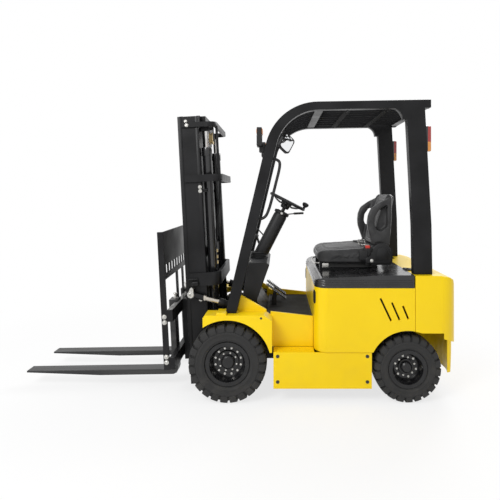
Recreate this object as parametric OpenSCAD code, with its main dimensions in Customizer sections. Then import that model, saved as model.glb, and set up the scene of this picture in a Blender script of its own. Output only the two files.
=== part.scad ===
// Four-wheel electric counterbalance forklift with a two-stage mast.
// Millimetres. +X points to the forks, +Y to the driver's left, +Z up, ground at Z = 0.
// X in the modules is measured from the front axle, and truck() centres the whole machine on the origin.

/* [Truck] */
// Front axle to rear axle
wheelbase = 1220; // [1150:10:1300]
// Width over the front tyres
truck_width = 1080; // [1060:10:1140]
// Rear axle to the back of the counterweight
rear_overhang = 344; // [340:2:380]
// How far the battery case and counterweight lie inside the front tyres' outer faces
body_inset = 10; // [0:1:20]
// Height of the driver's floor
floor_height = 535; // [520:5:560]
// Height of the side step
step_height = 345; // [330:5:370]
// Height where the battery case ends and the hood begins
case_height = 779; // [770:1:800]
// Distance from the front axle back to the battery case
case_start = 590; // [580:2:610]
// Distance from the front axle back to the counterweight seam
seam = 1268; // [1260:2:1280]
// Height of the counterweight's flat top
weight_top = 862; // [850:2:880]

/* [Front wheels] */
// Outside diameter of a front tyre
front_tyre_d = 533; // [500:1:545]
// Width of a front tyre
front_tyre_w = 200; // [180:2:204]
// Radius of the front rim's edge
front_rim_r = 148; // [140:1:160]
// Number of shoulder lugs on a front tyre
front_lugs = 24; // [18:1:28]
// Gap between the front tyre and its arch
front_arch_gap = 30; // [26:1:40]

/* [Rear wheels] */
// Outside diameter of a rear tyre
rear_tyre_d = 457; // [440:1:462]
// Width of a rear tyre
rear_tyre_w = 170; // [150:2:174]
// Radius of the rear rim's edge
rear_rim_r = 130; // [124:1:140]
// Number of shoulder lugs on a rear tyre
rear_lugs = 22; // [16:1:26]
// Distance of a kingpin inside the rear tyre's inner face
kingpin_inset = 35; // [32:1:44]
// Gap between the rear tyre and its arch
rear_arch_gap = 34; // [30:1:40]

/* [Tyres] */
// Depth of the grooves between lugs
lug_depth = 13; // [8:1:16]
// Width of the grooves between lugs
lug_groove = 13; // [8:1:18]

/* [Mast] */
// Forward lean of the mast as parked
mast_lean = 3; // [1:0.5:4]
// Height of the outer rails with the mast upright
mast_height = 1985; // [1940:5:2020]
// Fore and aft depth of a mast rail
rail_depth = 150; // [144:1:160]
// Distance from the axle to the front of the rails
rail_front = 294; // [290:1:300]
// Thickness of a rail's flanges
rail_flange = 25; // [22:1:28]
// Thickness of a rail's web
rail_web = 18; // [16:1:20]
// Gap between the mast's crossmembers and the front tyres
mast_gap = 8; // [6:1:14]
// Radius of the lift cylinders
lift_barrel_r = 33; // [30:1:34]
// Radius of the lift rods
lift_rod_r = 19; // [16:1:21]
// Rise of the inner mast over its lowest place as parked
parked_rise = 38; // [30:1:50]

/* [Tilt cylinders] */
// Height of the tilt pin on the upright mast
tilt_pin_z = 713; // [700:1:725]
// Distance of the tilt pin ahead of the axle on the upright mast
tilt_pin_x = 254; // [248:1:260]
// Distance of the rear tilt anchor behind the axle
tilt_anchor_x = 215; // [210:1:225]
// Height of the rear tilt anchor
tilt_anchor_z = 559; // [552:1:566]
// Sideways distance of a tilt cylinder's centre from the outer rail
tilt_standoff = 28; // [26:1:32]
// Radius of a tilt barrel
tilt_barrel_r = 27; // [24:1:28]
// Radius of a tilt rod
tilt_rod_r = 16; // [14:1:17]
// Radius of a tilt pin
tilt_pin_r = 16; // [14:1:17]

/* [Forks] */
// Length of a fork blade
fork_length = 1070; // [1000:10:1150]
// Width of a fork
fork_width = 100; // [80:5:120]
// Thickness of a fork at its heel
fork_thickness = 40; // [35:1:45]
// Distance between the fork centres
fork_spacing = 400; // [340:10:560]
// Height of the fork heels above the ground as parked
fork_height = 112; // [100:1:130]
// Upward set of a fork blade from square
fork_set = 2.1; // [1:0.1:3]
// Distance from the axle to the load face of the forks
fork_face = 440; // [436:1:450]

/* [Carriage] */
// Height of the carriage over both fork bars
carriage_height = 407; // [400:1:420]
// Height of the lower fork bar's bottom edge as parked
carriage_low = 232; // [228:1:240]
// How far the carriage lies inside the front tyres' outer faces
carriage_inset = 62; // [50:1:70]
// Top of the load backrest on the upright mast
backrest_top = 1175; // [1120:5:1220]

/* [Overhead guard] */
// Height of the guard's roof
guard_height = 2060; // [2040:5:2100]
// How far the pillars' centres lie inside the front tyres' outer faces
guard_inset = 90; // [80:1:95]
// Width of the pillars from side to side
guard_w = 60; // [50:1:64]
// Depth of the front pillars
pillar_depth = 72; // [64:1:80]
// Depth of the roof beams
beam_depth = 55; // [48:1:62]
// Backward lean of the front pillars
pillar_lean = 13.4; // [12:0.1:15]
// Bend radius between pillar and roof beam
guard_bend = 340; // [300:5:360]
// Number of lengthwise roof bars
roof_bars = 7; // [5:1:9]

/* [Steering and controls] */
// Diameter of the steering wheel
wheel_d = 306; // [280:1:320]
// Tilt of the steering column from upright
column_tilt = 27; // [24:1:30]
// Distance of the steering wheel behind the axle
wheel_x = 417; // [410:1:425]
// Height of the steering wheel's centre
wheel_z = 1353; // [1340:1:1370]
// Height of the dash cowl
cowl_top = 915; // [900:5:930]

/* [Seat] */
// Width of the seat cushion
seat_w = 500; // [460:5:520]
// Front of the seat cushion behind the axle
seat_front = 622; // [615:1:640]
// Length of the seat cushion
seat_length = 480; // [460:5:500]
// Underside of the cushion
seat_z = 905; // [900:1:920]
// Thickness of the cushion
cushion_t = 95; // [80:1:110]
// Top of the seat back
back_top = 1420; // [1380:5:1450]

/* [Hidden] */
$fn = 64;

// Clearances: a turning shaft, a rolling roller, and two pieces that only sit side by side
running = 0.05;
rolling = 0.5;
beside = 6;
// Length that lets one solid cut cleanly through another
past = 1;

paint_yellow = "gold";
paint_black = "#2b2b2b";
plastic_black = "#222222";
rubber_black = "#1c1c1c";
bare_steel = "silver";

front_r = front_tyre_d / 2;
rear_r = rear_tyre_d / 2;
rear_x = -wheelbase;
body_half = truck_width / 2 - body_inset;
kingpin_y = body_half - rear_tyre_w - kingpin_inset;
wrap_wall = 14;
mast_half = truck_width / 2 - front_tyre_w - wrap_wall - mast_gap;
tilt_y = mast_half + tilt_standoff;
carriage_half = truck_width / 2 - carriage_inset;
guard_y = truck_width / 2 - guard_inset;
tail_x = -wheelbase - rear_overhang;
front_wheel_y = truck_width / 2 - front_tyre_w / 2;
rear_wheel_y = body_half - rear_tyre_w / 2;
front_arch_r = front_r + front_arch_gap;
rear_arch_r = rear_r + rear_arch_gap;
// Room that a rear tyre sweeps about its kingpin
steer_sweep = norm([rear_r, rear_wheel_y + rear_tyre_w / 2 - kingpin_y]) + 8;
well_top = rear_tyre_d + 18;

axle_tube_r = 62;
drive_r = 100;
spindle_r = 40;
rear_spindle_r = 32;
front_hub_r = 72;
rear_hub_r = 52;

rail_back = rail_front - rail_depth;
rail_mid = rail_front - rail_depth / 2;
roller_r = rail_depth / 2 - rail_flange - rolling;
outer_flange_in = mast_half - 68;
inner_half = outer_flange_in - beside;
inner_w = 74;
inner_web_y = inner_half - inner_w / 2;
mast_low = 62;
inner_low = mast_low + 12 + parked_rise;
inner_top = mast_height + 15;
lift_x = rail_back - lift_barrel_r - 7;
lift_y = mast_half - 68;
lift_barrel_top = mast_height - 225;
rod_head_z = mast_height - 105;

bar_t = 38;
bar_h = 80;
fork_back = fork_face - fork_thickness;
bar_back = fork_back - bar_t;
carriage_top = carriage_low + carriage_height;
roller_low = carriage_low + 8;
roller_high = roller_low + 270;
plate_y = inner_half - inner_w - 10;
chain_y = plate_y - 55;
sheave_r = 46;
sheave_x = 262;
sheave_z = mast_height - 60;
chain_t = 14;
chain_w = 32;
chain_run = sheave_r + chain_t / 2 + 0.3;

// Where the fork tip ends up with the mast at its parked lean
fork_tip = fork_face + fork_length;
fork_tip_z = fork_height + fork_thickness + fork_length * tan(fork_set);
fork_tip_x = fork_tip * cos(mast_lean) + (fork_tip_z - front_r) * sin(mast_lean);
front_axle_x = -(fork_tip_x + tail_x) / 2;

// Tilt pin and cylinder line at the parked lean
pin_dx = tilt_pin_x * cos(mast_lean) + (tilt_pin_z - front_r) * sin(mast_lean);
pin_dz = front_r - tilt_pin_x * sin(mast_lean) + (tilt_pin_z - front_r) * cos(mast_lean);
tilt_length = norm([pin_dx + tilt_anchor_x, pin_dz - tilt_anchor_z]);
tilt_angle = atan2(pin_dz - tilt_anchor_z, pin_dx + tilt_anchor_x);
tilt_gland = tilt_length - 205;
eye_gap = 4;

hood_hinge_x = -seam + 8;
hood_hinge_z = case_height + 88;

module truck() { translate([front_axle_x, 0, 0]) children(); }

// Turns what is drawn on an upright mast to the parked lean
module leaned() {
    truck() translate([0, 0, front_r]) rotate([0, mast_lean, 0]) translate([0, 0, -front_r]) children();
}

module both_sides() {
    children();
    mirror([0, 1, 0]) children();
}

module on_side(side) {
    if (side > 0) children();
    else mirror([0, 1, 0]) children();
}

// Extrudes a side view, drawn in X and Z, from y0 to y1
module side_view(y0, y1) { translate([0, y1, 0]) rotate([90, 0, 0]) linear_extrude(y1 - y0) children(); }

// Box from low corner to high corner
module span(a, b) { translate(a) cube(b - a); }

// Cylinder across the truck at x, z from y0 to y1
module cross_rod(x, z, r, y0, y1) { translate([x, y1, z]) rotate([90, 0, 0]) cylinder(r = r, h = y1 - y0); }

// Profile of radius and distance from the wheel's middle, outwards positive
module wheel_turn(x, y, z) { translate([x, y, z]) rotate([-90, 0, 0]) rotate_extrude($fn = 96) children(); }

module rounded_plan(x0, x1, half, r) {
    hull_free = min(r, half);
    translate([x0, -half]) square([x1 - x0 - hull_free, 2 * half]);
    translate([x0, -half + hull_free]) square([x1 - x0, 2 * (half - hull_free)]);
    for (s = [-1, 1]) translate([x1 - hull_free, s * (half - hull_free)]) circle(hull_free);
}

// Wheels and axles

function tyre_section(r, w, rim_r, seat_r) = [
    [seat_r, 20.5 - w / 2], [rim_r + 2, 20.5 - w / 2], [rim_r + 8, 4 - w / 2], [(rim_r + r) / 2, -w / 2],
    [r - 34, 4 - w / 2], [r - 7, 13 - w / 2], [r, 26 - w / 2],
    [r, w / 2 - 26], [r - 7, w / 2 - 13], [r - 34, w / 2 - 4],
    [(rim_r + r) / 2, w / 2], [rim_r + 8, w / 2 - 4], [rim_r + 2, w / 2 - 20.5], [seat_r, w / 2 - 20.5]];

// One groove runs down the shoulder and part of the way across the tread
module lug_groove_tool(r, w) {
    translate([0, lug_groove / 2, 0]) rotate([90, 0, 0]) linear_extrude(lug_groove) polygon([
        [r - 2 * lug_depth, w / 2 - 12], [r - 2 * lug_depth, w / 2 + past], [r + past, w / 2 + past],
        [r + past, w * 0.2], [r - lug_depth, w * 0.2], [r - lug_depth, w / 2 - 16]]);
}

module tyre(r, w, rim_r, lugs) {
    seat_r = rim_r - 24 + 0.3;
    rotate([-90, 0, 0]) difference() {
        rotate_extrude($fn = 96) polygon(tyre_section(r, w, rim_r, seat_r));
        for (i = [0 : lugs - 1]) {
            rotate([0, 0, i * 360 / lugs]) lug_groove_tool(r, w);
            rotate([0, 0, (i + 0.5) * 360 / lugs]) mirror([0, 0, 1]) lug_groove_tool(r, w);
        }
    }
}

module front_tyre(side) {
    color(rubber_black) truck() on_side(side) translate([0, front_wheel_y, front_r])
        tyre(front_r, front_tyre_w, front_rim_r, front_lugs);
}

module rear_tyre(side) {
    color(rubber_black) truck() on_side(side) translate([rear_x, rear_wheel_y, rear_r])
        tyre(rear_r, rear_tyre_w, rear_rim_r, rear_lugs);
}

// Well rim with its edge flanges, a dished disc and a hub that runs on the spindle
function rim_section(rim_r, w, bore_r, hub_r, cap_r, hub_in, disc, cap) = let(
    seat = rim_r - 24, barrel = rim_r - 34, a1 = w / 2 - 10, a0 = w / 2 - 20) [
    [bore_r, -hub_in], [cap_r + 40, -hub_in], [cap_r + 40, disc - 34], [barrel, disc - 34], [barrel, -a1],
    [rim_r, -a1], [rim_r, -a0], [seat, -a0], [seat, a0], [rim_r, a0], [rim_r, a1], [barrel + 8, a1],
    [barrel - 3, disc + 12], [barrel - 14, disc], [hub_r + 4, disc - 2], [hub_r, disc + 12], [cap_r, disc + 12],
    [cap_r - 3, cap - 8], [cap_r - 12, cap], [0, cap], [0, disc + 4], [bore_r, disc + 4]];

module front_rim(side) {
    color(paint_black) truck() on_side(side) wheel_turn(0, front_wheel_y, front_r)
        polygon(rim_section(front_rim_r, front_tyre_w, spindle_r + running, front_hub_r, 48, 58, 24, 62));
}

module rear_rim(side) {
    color(paint_black) truck() on_side(side) wheel_turn(rear_x, rear_wheel_y, rear_r)
        polygon(rim_section(rear_rim_r, rear_tyre_w, rear_spindle_r + running, rear_hub_r, 40, 40, 12, 50));
}

// Drive axle: tube, drive housing in the middle, hub drums and the spindles that carry the front wheels
module front_axle() {
    drum_end = front_wheel_y - 64;
    motor_half = axle_plate_y - 50;
    drive_half = axle_plate_y - 84;
    color(paint_black) truck() {
        cross_rod(0, front_r, axle_tube_r, -drum_end + 40, drum_end - 40);
        cross_rod(0, front_r, drive_r, -drive_half, drive_half);
        cross_rod(-150, front_r + 20, 88, -motor_half, motor_half);
        span([-150, 16 - drive_half, front_r - 40], [0, drive_half - 16, front_r + 60]);
        both_sides() {
            cross_rod(0, front_r, 86, drum_end - 40, drum_end);
            cross_rod(0, front_r, spindle_r, drum_end - 20, front_wheel_y + 26);
        }
    }
}

ear_r = 44;
kingpin_r = 18;
knuckle_half = 58;

// Steer axle: beam with a forked end round each kingpin, hung from a block under the frame
module steer_axle() {
    ear_low = knuckle_half + 2;
    ear_high = 90;
    beam_end = kingpin_y - 65;
    color(paint_black) truck() translate([rear_x, 0, rear_r]) {
        span([-56, -beam_end, -ear_high + 14], [56, beam_end, ear_high - 14]);
        both_sides() for (z = [ear_low, -ear_high]) difference() {
            union() {
                span([-ear_r, beam_end - 40, z], [ear_r, kingpin_y, z + ear_high - ear_low]);
                translate([0, kingpin_y, z]) cylinder(r = ear_r, h = ear_high - ear_low);
            }
            translate([0, kingpin_y, z - past])
                cylinder(r = kingpin_r + running, h = ear_high - ear_low + 2 * past);
        }
    }
}

module knuckle(side) {
    color(paint_black) truck() on_side(side) translate([rear_x, kingpin_y, rear_r]) {
        translate([0, 0, -knuckle_half]) cylinder(r = 40, h = 2 * knuckle_half);
        translate([0, 0, -92]) cylinder(r = kingpin_r, h = 184);
        cross_rod(0, 0, rear_spindle_r, 0, rear_wheel_y - kingpin_y + 14);
    }
}

// Chassis and body

plate = 12;
pan_low = 105;
frame_half = body_half - 30;
cabin_half = tilt_y + 39;
fender_in = cabin_half + 7;
floor_front = -262;
pan_front = -330;
pan_back = rear_x + steer_sweep + 10;
tray_z = well_top + 2;
anchor_pin_r = 14;
lug_in = tilt_y - 44;
lug_out = tilt_y + 28;
toe_half = lug_in - 4;
axle_plate_y = mast_half - 138;
axle_plate_t = 24;
cowl_low = floor_height + 71;
lug_beam_low = tilt_anchor_z - 81;
lug_beam_top = tilt_anchor_z - 54;
case_wall = 25;
case_corner = 90;

module wheel_wells() {
    both_sides() {
        translate([rear_x, kingpin_y, -past]) cylinder(r = steer_sweep, h = well_top + past, $fn = 96);
        cross_rod(rear_x, rear_r, rear_arch_r, body_half - 60, body_half + past);
    }
}

// Welded frame: axle plates, step pan, floor plate with toe board, battery tray and the steer axle's block
module frame() {
    floor_low = floor_height - 8 - plate;
    color(paint_black) truck() {
        both_sides() {
            difference() {
                union() {
                    span([pan_front - plate, axle_plate_y, 190], [45, axle_plate_y + axle_plate_t, floor_low]);
                    span([-tilt_anchor_x - 40, axle_plate_y, 190], [45, axle_plate_y + axle_plate_t, lug_beam_top]);
                }
                cross_rod(0, front_r, axle_tube_r + 0.3, axle_plate_y - past, axle_plate_y + axle_plate_t + past);
            }
            span([-wheelbase + rear_arch_r, frame_half - 16, pan_low], [pan_front, frame_half, step_height - plate]);
            span([-case_start, cabin_half - 16, step_height - plate], [pan_front, cabin_half, floor_low]);
            span([-tilt_anchor_x - 30, lug_in, lug_beam_top - 5], [-tilt_anchor_x + 30, lug_in + 14, tilt_anchor_z + 24]);
            span([-tilt_anchor_x - 30, lug_out, lug_beam_top - 5], [-tilt_anchor_x + 30, lug_out + 12, tilt_anchor_z + 24]);
            cross_rod(-tilt_anchor_x, tilt_anchor_z, anchor_pin_r, lug_in, lug_out + 12);
        }
        span([pan_back, -frame_half, pan_low], [pan_front, frame_half, pan_low + plate]);
        span([pan_front - plate, -frame_half, pan_low], [pan_front, frame_half, step_height - plate]);
        span([pan_back, -frame_half, pan_low], [pan_back + plate, frame_half, step_height - plate]);
        span([-case_start - 38, case_corner - body_half, pan_low], [-case_start - 26, body_half - case_corner, tray_z]);
        translate([0, 0, tray_z]) linear_extrude(plate)
            rounded_plan(-seam, -case_start - case_wall - 1, frame_half, case_corner - case_wall);
        span([-case_start, -cabin_half, floor_low], [floor_front, cabin_half, floor_low + plate]);
        span([-tilt_anchor_x - 40, -lug_out - 12, lug_beam_low], [-tilt_anchor_x + 40, lug_out + 12, lug_beam_top]);
        side_view(-toe_half, toe_half) polygon([[floor_front, floor_low], [floor_front, floor_low + plate + 4],
            [-190, cowl_low + 30], [-190, cowl_low + 14], [floor_front + 14, floor_low]]);
        span([-90, -toe_half, floor_height - 55], [-76, toe_half, cowl_low]);
        span([-wheelbase - 40, -100, rear_r + 76], [-wheelbase + 62, 100, tray_z]);
    }
}

// Front fenders: arch over the tyre, the wall behind the guard's pillar and the side of the driver's floor
module front_fenders() {
    outer = truck_width / 2 - 5;
    color(paint_yellow) truck() both_sides() {
        difference() {
            side_view(fender_in, outer) polygon([[165, front_r + 246], [165, 578], [150, 596], [-250, 596],
                [-302, 560], [-302, step_height], [-240, step_height]]);
            cross_rod(0, front_r, front_arch_r, fender_in - past, outer + past);
        }
        side_view(fender_in, fender_in + 22) polygon([[-56, 590], [-84, 706], [-262, 604], [-262, 590]]);
        side_view(cabin_half, fender_in + 10) polygon([[-290, step_height], [-290, 590],
            [-case_start + 2, floor_height + 22], [-case_start + 2, step_height]]);
    }
}

// Bolted covers below the doors, with the tread of the step
module step_covers() {
    cover_back = -wheelbase + rear_r + 16;
    color(paint_yellow) truck() both_sides() {
        span([cover_back, body_half - 22, 99], [-311, body_half - 8, step_height - 2]);
        span([-case_start + 2, fender_in + 12, step_height - plate], [-311, body_half - 8, step_height]);
    }
}

// Slanted ventilation slots: front top corner and back bottom corner of each
vent_slots = [[-1032, 710, -1105, 556], [-1109, 682, -1162, 562], [-1183, 659, -1221, 569]];
vent_w = 13;

// Battery case: side walls and front wall in one shell, open to the hood above
module battery_case() {
    color(paint_yellow) truck() difference() {
        translate([0, 0, step_height]) linear_extrude(case_height - step_height) difference() {
            rounded_plan(-seam + 2, -case_start, body_half, case_corner);
            rounded_plan(-seam + 2 - past, -case_start - case_wall, body_half - case_wall, case_corner - case_wall);
        }
        both_sides() {
            cross_rod(rear_x, rear_r, rear_arch_r, body_half - 60, body_half + past);
            for (s = vent_slots) let(length = norm([s[2] - s[0], s[3] - s[1]]))
                translate([(s[0] + s[2]) / 2, body_half, (s[1] + s[3]) / 2])
                    rotate([0, atan2(s[2] - s[0], s[3] - s[1]), 0]) cube([vent_w, 3 * case_wall, length], center = true);
        }
    }
}

tow_x = tail_x + 42;
tow_r = 16;

// Cast counterweight: upper body over the wheels, lower tail between them and the towing tongue
module counterweight() {
    color(paint_yellow) truck() difference() {
        union() {
            intersection() {
                side_view(-body_half, body_half) polygon([[-seam, 430], [-seam, weight_top],
                    [tail_x + 120, weight_top], [tail_x + 58, weight_top - 14], [tail_x + 26, weight_top - 34],
                    [tail_x + 14, weight_top - 66], [tail_x + 8, 590], [tail_x, 562], [tail_x, 395],
                    [tail_x + 90, 432], [tail_x + 180, 455]]);
                mirror([1, 0, 0]) linear_extrude(2 * weight_top) rounded_plan(seam, -tail_x, body_half, 120);
            }
            intersection() {
                side_view(-body_half + 100, body_half - 100) polygon([[-seam - 20, 310], [-seam - 20, 480],
                    [tail_x + 2, 480], [tail_x + 2, 380], [tail_x + 18, 172], [tail_x + 110, 172], [-seam - 90, 250]]);
                mirror([1, 0, 0]) linear_extrude(weight_top) rounded_plan(seam, -tail_x, body_half - 100, 60);
            }
        }
        wheel_wells();
        span([tail_x - past, -70, 400], [tow_x + 40, 70, 462]);
        span([tail_x - past, -70, 492], [tow_x + 40, 70, 640]);
        translate([tow_x, 0, 400]) cylinder(r = tow_r, h = weight_top);
    }
}

battery_half = body_half - case_wall - 35;

module battery() {
    color("dimgray") truck() span([-seam + 20, -battery_half, tray_z + plate], [-case_start - case_wall - 20, battery_half, case_height - 6]);
}

module floor_mat() {
    color(rubber_black) truck()
        span([-case_start + 1, -cabin_half + 2, floor_height - 8], [floor_front, cabin_half - 2, floor_height]);
}

module dash_cowl() {
    color(plastic_black) truck() side_view(-toe_half, toe_half) polygon([[-76, cowl_low], [-118, cowl_top - 6], [-126, cowl_top],
        [-262, cowl_top], [-280, cowl_top - 18], [-188, cowl_low + 34], [-150, cowl_low]]);
}

// Draws along the steering column, with its Z on the column's line and zero at the wheel's centre
module on_column() {
    truck() translate([-wheel_x, 0, wheel_z]) rotate([0, -column_tilt, 0]) children();
}

steer_shaft_r = 14;

module steering_column() {
    color(plastic_black) difference() {
        on_column() {
            translate([0, 0, -530]) cylinder(r = 54, h = 400);
            translate([0, 0, -130]) cylinder(r1 = 54, r2 = 42, h = 45);
            translate([0, 0, -90]) cylinder(r = steer_shaft_r, h = 88);
        }
        truck() span([-400, -100, cowl_top - 300], [0, 100, cowl_top]);
    }
}

module steering_wheel() {
    rim_tube = 13;
    color(plastic_black) on_column() difference() {
        union() {
            rotate_extrude($fn = 96) translate([wheel_d / 2 - rim_tube, 0]) circle(rim_tube, $fn = 24);
            for (a = [90, 210, 330]) rotate([0, 0, a]) span([20, -16, -22], [wheel_d / 2 - rim_tube, 16, -10]);
            translate([0, 0, -46]) cylinder(r = 34, h = 40);
            rotate([0, 0, 150]) translate([wheel_d / 2 - rim_tube, 0, 8]) cylinder(r = 16, h = 42);
        }
        translate([0, 0, -60]) cylinder(r = steer_shaft_r + running, h = 48 + 12);
    }
}

// Accelerator and brake pedals on brackets from the floor
module pedals() {
    color(plastic_black) truck() for (y = [-210, -60]) {
        side_view(y, y + 80) translate([0, floor_height]) polygon([[-262, 155], [-250, 163], [-398, 49], [-408, 55]]);
        side_view(y + 30, y + 50) translate([0, floor_height]) polygon([[-330, 0], [-290, 0], [-312, 121], [-330, 107]]);
    }
}

// Three hydraulic levers on the cowl's right
module control_levers() {
    color(plastic_black) truck() for (y = [48, 98, 148]) translate([0, -toe_half, 0]) {
        translate([-215, y, cowl_top + 4]) rotate([0, 20, 0]) cylinder(r = 6, h = 150);
        translate([-215, y, cowl_top]) cylinder(r = 14, h = 8);
        translate([-215, y, cowl_top + 4]) rotate([0, 20, 0]) translate([0, 0, 150]) sphere(16);
    }
}

// Overhead guard and what is fixed to it

foot_x = -19;
foot_z = 596;
roof_end = -1390;
roof_slope = 1;
roof_mid = guard_height - beam_depth / 2;
bend_turn = 90 - pillar_lean - roof_slope;
pillar_run = (roof_mid - (foot_x - roof_end) * tan(roof_slope) - foot_z)
    / (cos(pillar_lean) - sin(pillar_lean) * tan(roof_slope));
bend_run = pillar_run - guard_bend * tan(bend_turn / 2);
bend_x = foot_x - bend_run * sin(pillar_lean) - guard_bend * cos(pillar_lean);
bend_z = foot_z + bend_run * cos(pillar_lean) - guard_bend * sin(pillar_lean);
bend_steps = 14;
guard_in = guard_y - guard_w / 2;
guard_out = guard_y + guard_w / 2;

function roof_z(x) = roof_mid - (x - roof_end) * tan(roof_slope);
function pillar_x(z) = foot_x - (z - foot_z) * tan(pillar_lean);
function bend_point(i, side) = let(
    part = i / bend_steps, turn = pillar_lean + part * bend_turn,
    half = (pillar_depth + (beam_depth - pillar_depth) * part) / 2)
    [bend_x + (guard_bend + side * half) * cos(turn), bend_z + (guard_bend + side * half) * sin(turn)];
foot_half = pillar_depth / 2 / cos(pillar_lean);
guard_outline = concat(
    [[foot_x + foot_half, foot_z]], [for (i = [0 : bend_steps]) bend_point(i, 1)],
    [[roof_end, roof_mid + beam_depth / 2], [roof_end, roof_mid - beam_depth / 2]],
    [for (i = [bend_steps : -1 : 0]) bend_point(i, -1)], [[foot_x - foot_half, foot_z]]);
rear_pillar = [[-seam - 2, weight_top], [-seam + 4, 1200], [-seam + 48, roof_mid], [-seam - 78, roof_mid],
    [-seam - 124, 1200], [-seam - 130, weight_top]];

// Welded guard: two bent side frames with their rear pillars, joined by a front and a rear beam
module overhead_guard() {
    gusset = 110;
    color(paint_black) truck() {
        both_sides() side_view(guard_in, guard_out) {
            polygon(guard_outline);
            polygon(rear_pillar);
            difference() {
                translate([-seam + 40, roof_mid - gusset]) square(gusset);
                translate([-seam + 40 + gusset, roof_mid - gusset]) circle(gusset - beam_depth / 2);
            }
        }
        for (x = [-660, roof_end]) side_view(-guard_in, guard_in) polygon([[x, roof_z(x) - 24],
            [x, roof_z(x) + 24], [x + 60, roof_z(x + 60) + 24], [x + 60, roof_z(x + 60) - 24]]);
    }
}

// Lengthwise roof bars on two cross straps
module roof_bars_panel() {
    bar_w = 18;
    front = -660;
    back = roof_end + 60;
    pitch = 2 * guard_in / (roof_bars + 1);
    color(paint_black) truck() {
        for (i = [1 : roof_bars]) side_view(-guard_in + i * pitch - bar_w / 2, -guard_in + i * pitch + bar_w / 2)
            polygon([[back, roof_z(back) - 20], [back, roof_z(back) + 20], [front, roof_z(front) + 20],
                [front, roof_z(front) - 20]]);
        for (x = [-850, -1130]) side_view(-guard_in, guard_in) polygon([[x, roof_z(x) - 28],
            [x, roof_z(x) - 18], [x + 40, roof_z(x + 40) - 18], [x + 40, roof_z(x + 40) - 28]]);
    }
}

// Round tube through points given in X and Z
module tube_path(points, r, y) {
    for (i = [0 : len(points) - 2]) let(d = points[i + 1] - points[i])
        translate([points[i][0], y, points[i][1]]) rotate([0, atan2(d[0], d[1]), 0]) cylinder(r = r, h = norm(d));
    for (i = [1 : len(points) - 2]) translate([points[i][0], y, points[i][1]]) sphere(r + 0.4);
}

handle_r = 10;
handle_path = [[pillar_x(1660), 1660], [-342, 1648], [-356, 1613], [-324, 1475], [-280, 1310], [-248, 1246],
    [pillar_x(1238), 1238]];

module grab_handle() {
    color(plastic_black) truck() difference() {
        tube_path(handle_path, handle_r, guard_y);
        side_view(guard_in, guard_out) polygon(guard_outline);
    }
}

lamp_x = -232;
lamp_low = 1738;

module front_lamps() {
    color(plastic_black) truck() both_sides() difference() {
        union() {
            span([lamp_x, guard_y - 55, lamp_low], [lamp_x + 35, guard_y + 55, lamp_low + 130]);
            span([lamp_x - 40, guard_y - 10, lamp_low - 40], [lamp_x + 20, guard_y + 10, lamp_low + 20]);
        }
        side_view(guard_in, guard_out) polygon(guard_outline);
    }
}

module rear_lamps() {
    color("firebrick") truck() both_sides() difference() {
        span([-seam - 122, guard_in + 2, 1705], [-seam - 60, guard_out - 2, 1880]);
        side_view(guard_in, guard_out) polygon(rear_pillar);
    }
}

mirror_x = -412;
mirror_y = 75 - guard_in;
mirror_z = 1850;
mirror_w = 130;
mirror_h = 150;
mirror_t = 28;
mirror_corner = 26;
mirror_turn = 40;
mirror_arm_x = -358;
// Sideways place of the mirror's back over its arm
mirror_back_y = mirror_y + (mirror_arm_x - mirror_x) * tan(mirror_turn) - mirror_t / 2 / cos(mirror_turn);

// Mirror shell turned to the driver and leaned back along the pillar's bend
module mirror_shell() {
    wide = mirror_w / 2;
    high = mirror_h / 2;
    translate([mirror_x, mirror_y, mirror_z]) rotate([0, -34, mirror_turn]) side_view(-mirror_t / 2, mirror_t / 2) {
        translate([-wide, mirror_corner - high]) square([mirror_w, mirror_h - 2 * mirror_corner]);
        translate([mirror_corner - wide, -high]) square([mirror_w - 2 * mirror_corner, mirror_h]);
        for (x = [mirror_corner - wide, wide - mirror_corner]) for (z = [mirror_corner - high, high - mirror_corner])
            translate([x, z]) circle(mirror_corner);
    }
}

// Rear-view mirror on an arm from the right front pillar
module mirror_arm() {
    color(plastic_black) truck() difference() {
        union() {
            mirror_shell();
            cross_rod(mirror_arm_x, mirror_z, 8, -guard_in - 10, mirror_back_y + 10);
        }
        side_view(-guard_out, -guard_in) polygon(guard_outline);
    }
}

// Mast

// U-shaped crossmember that wraps behind the rails
module wrap(back, z0, z1) {
    translate([0, 0, z0]) linear_extrude(z1 - z0) mirror([1, 0]) difference() {
        rounded_plan(30 - rail_front, -back, mast_half + wrap_wall, 60);
        rounded_plan(30 - rail_front - past, -back - 22, mast_half, 46);
    }
}

module outer_section() {
    difference() {
        translate([rail_back, outer_flange_in]) square([rail_depth, mast_half - outer_flange_in]);
        translate([rail_back + rail_flange, outer_flange_in - past])
            square([rail_depth - 2 * rail_flange, mast_half - rail_web - outer_flange_in + past]);
    }
}

bracket_y = lift_y + lift_barrel_r + 3;
top_roller_z = mast_height - 55;

pin_seat = mast_half + 4;

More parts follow.
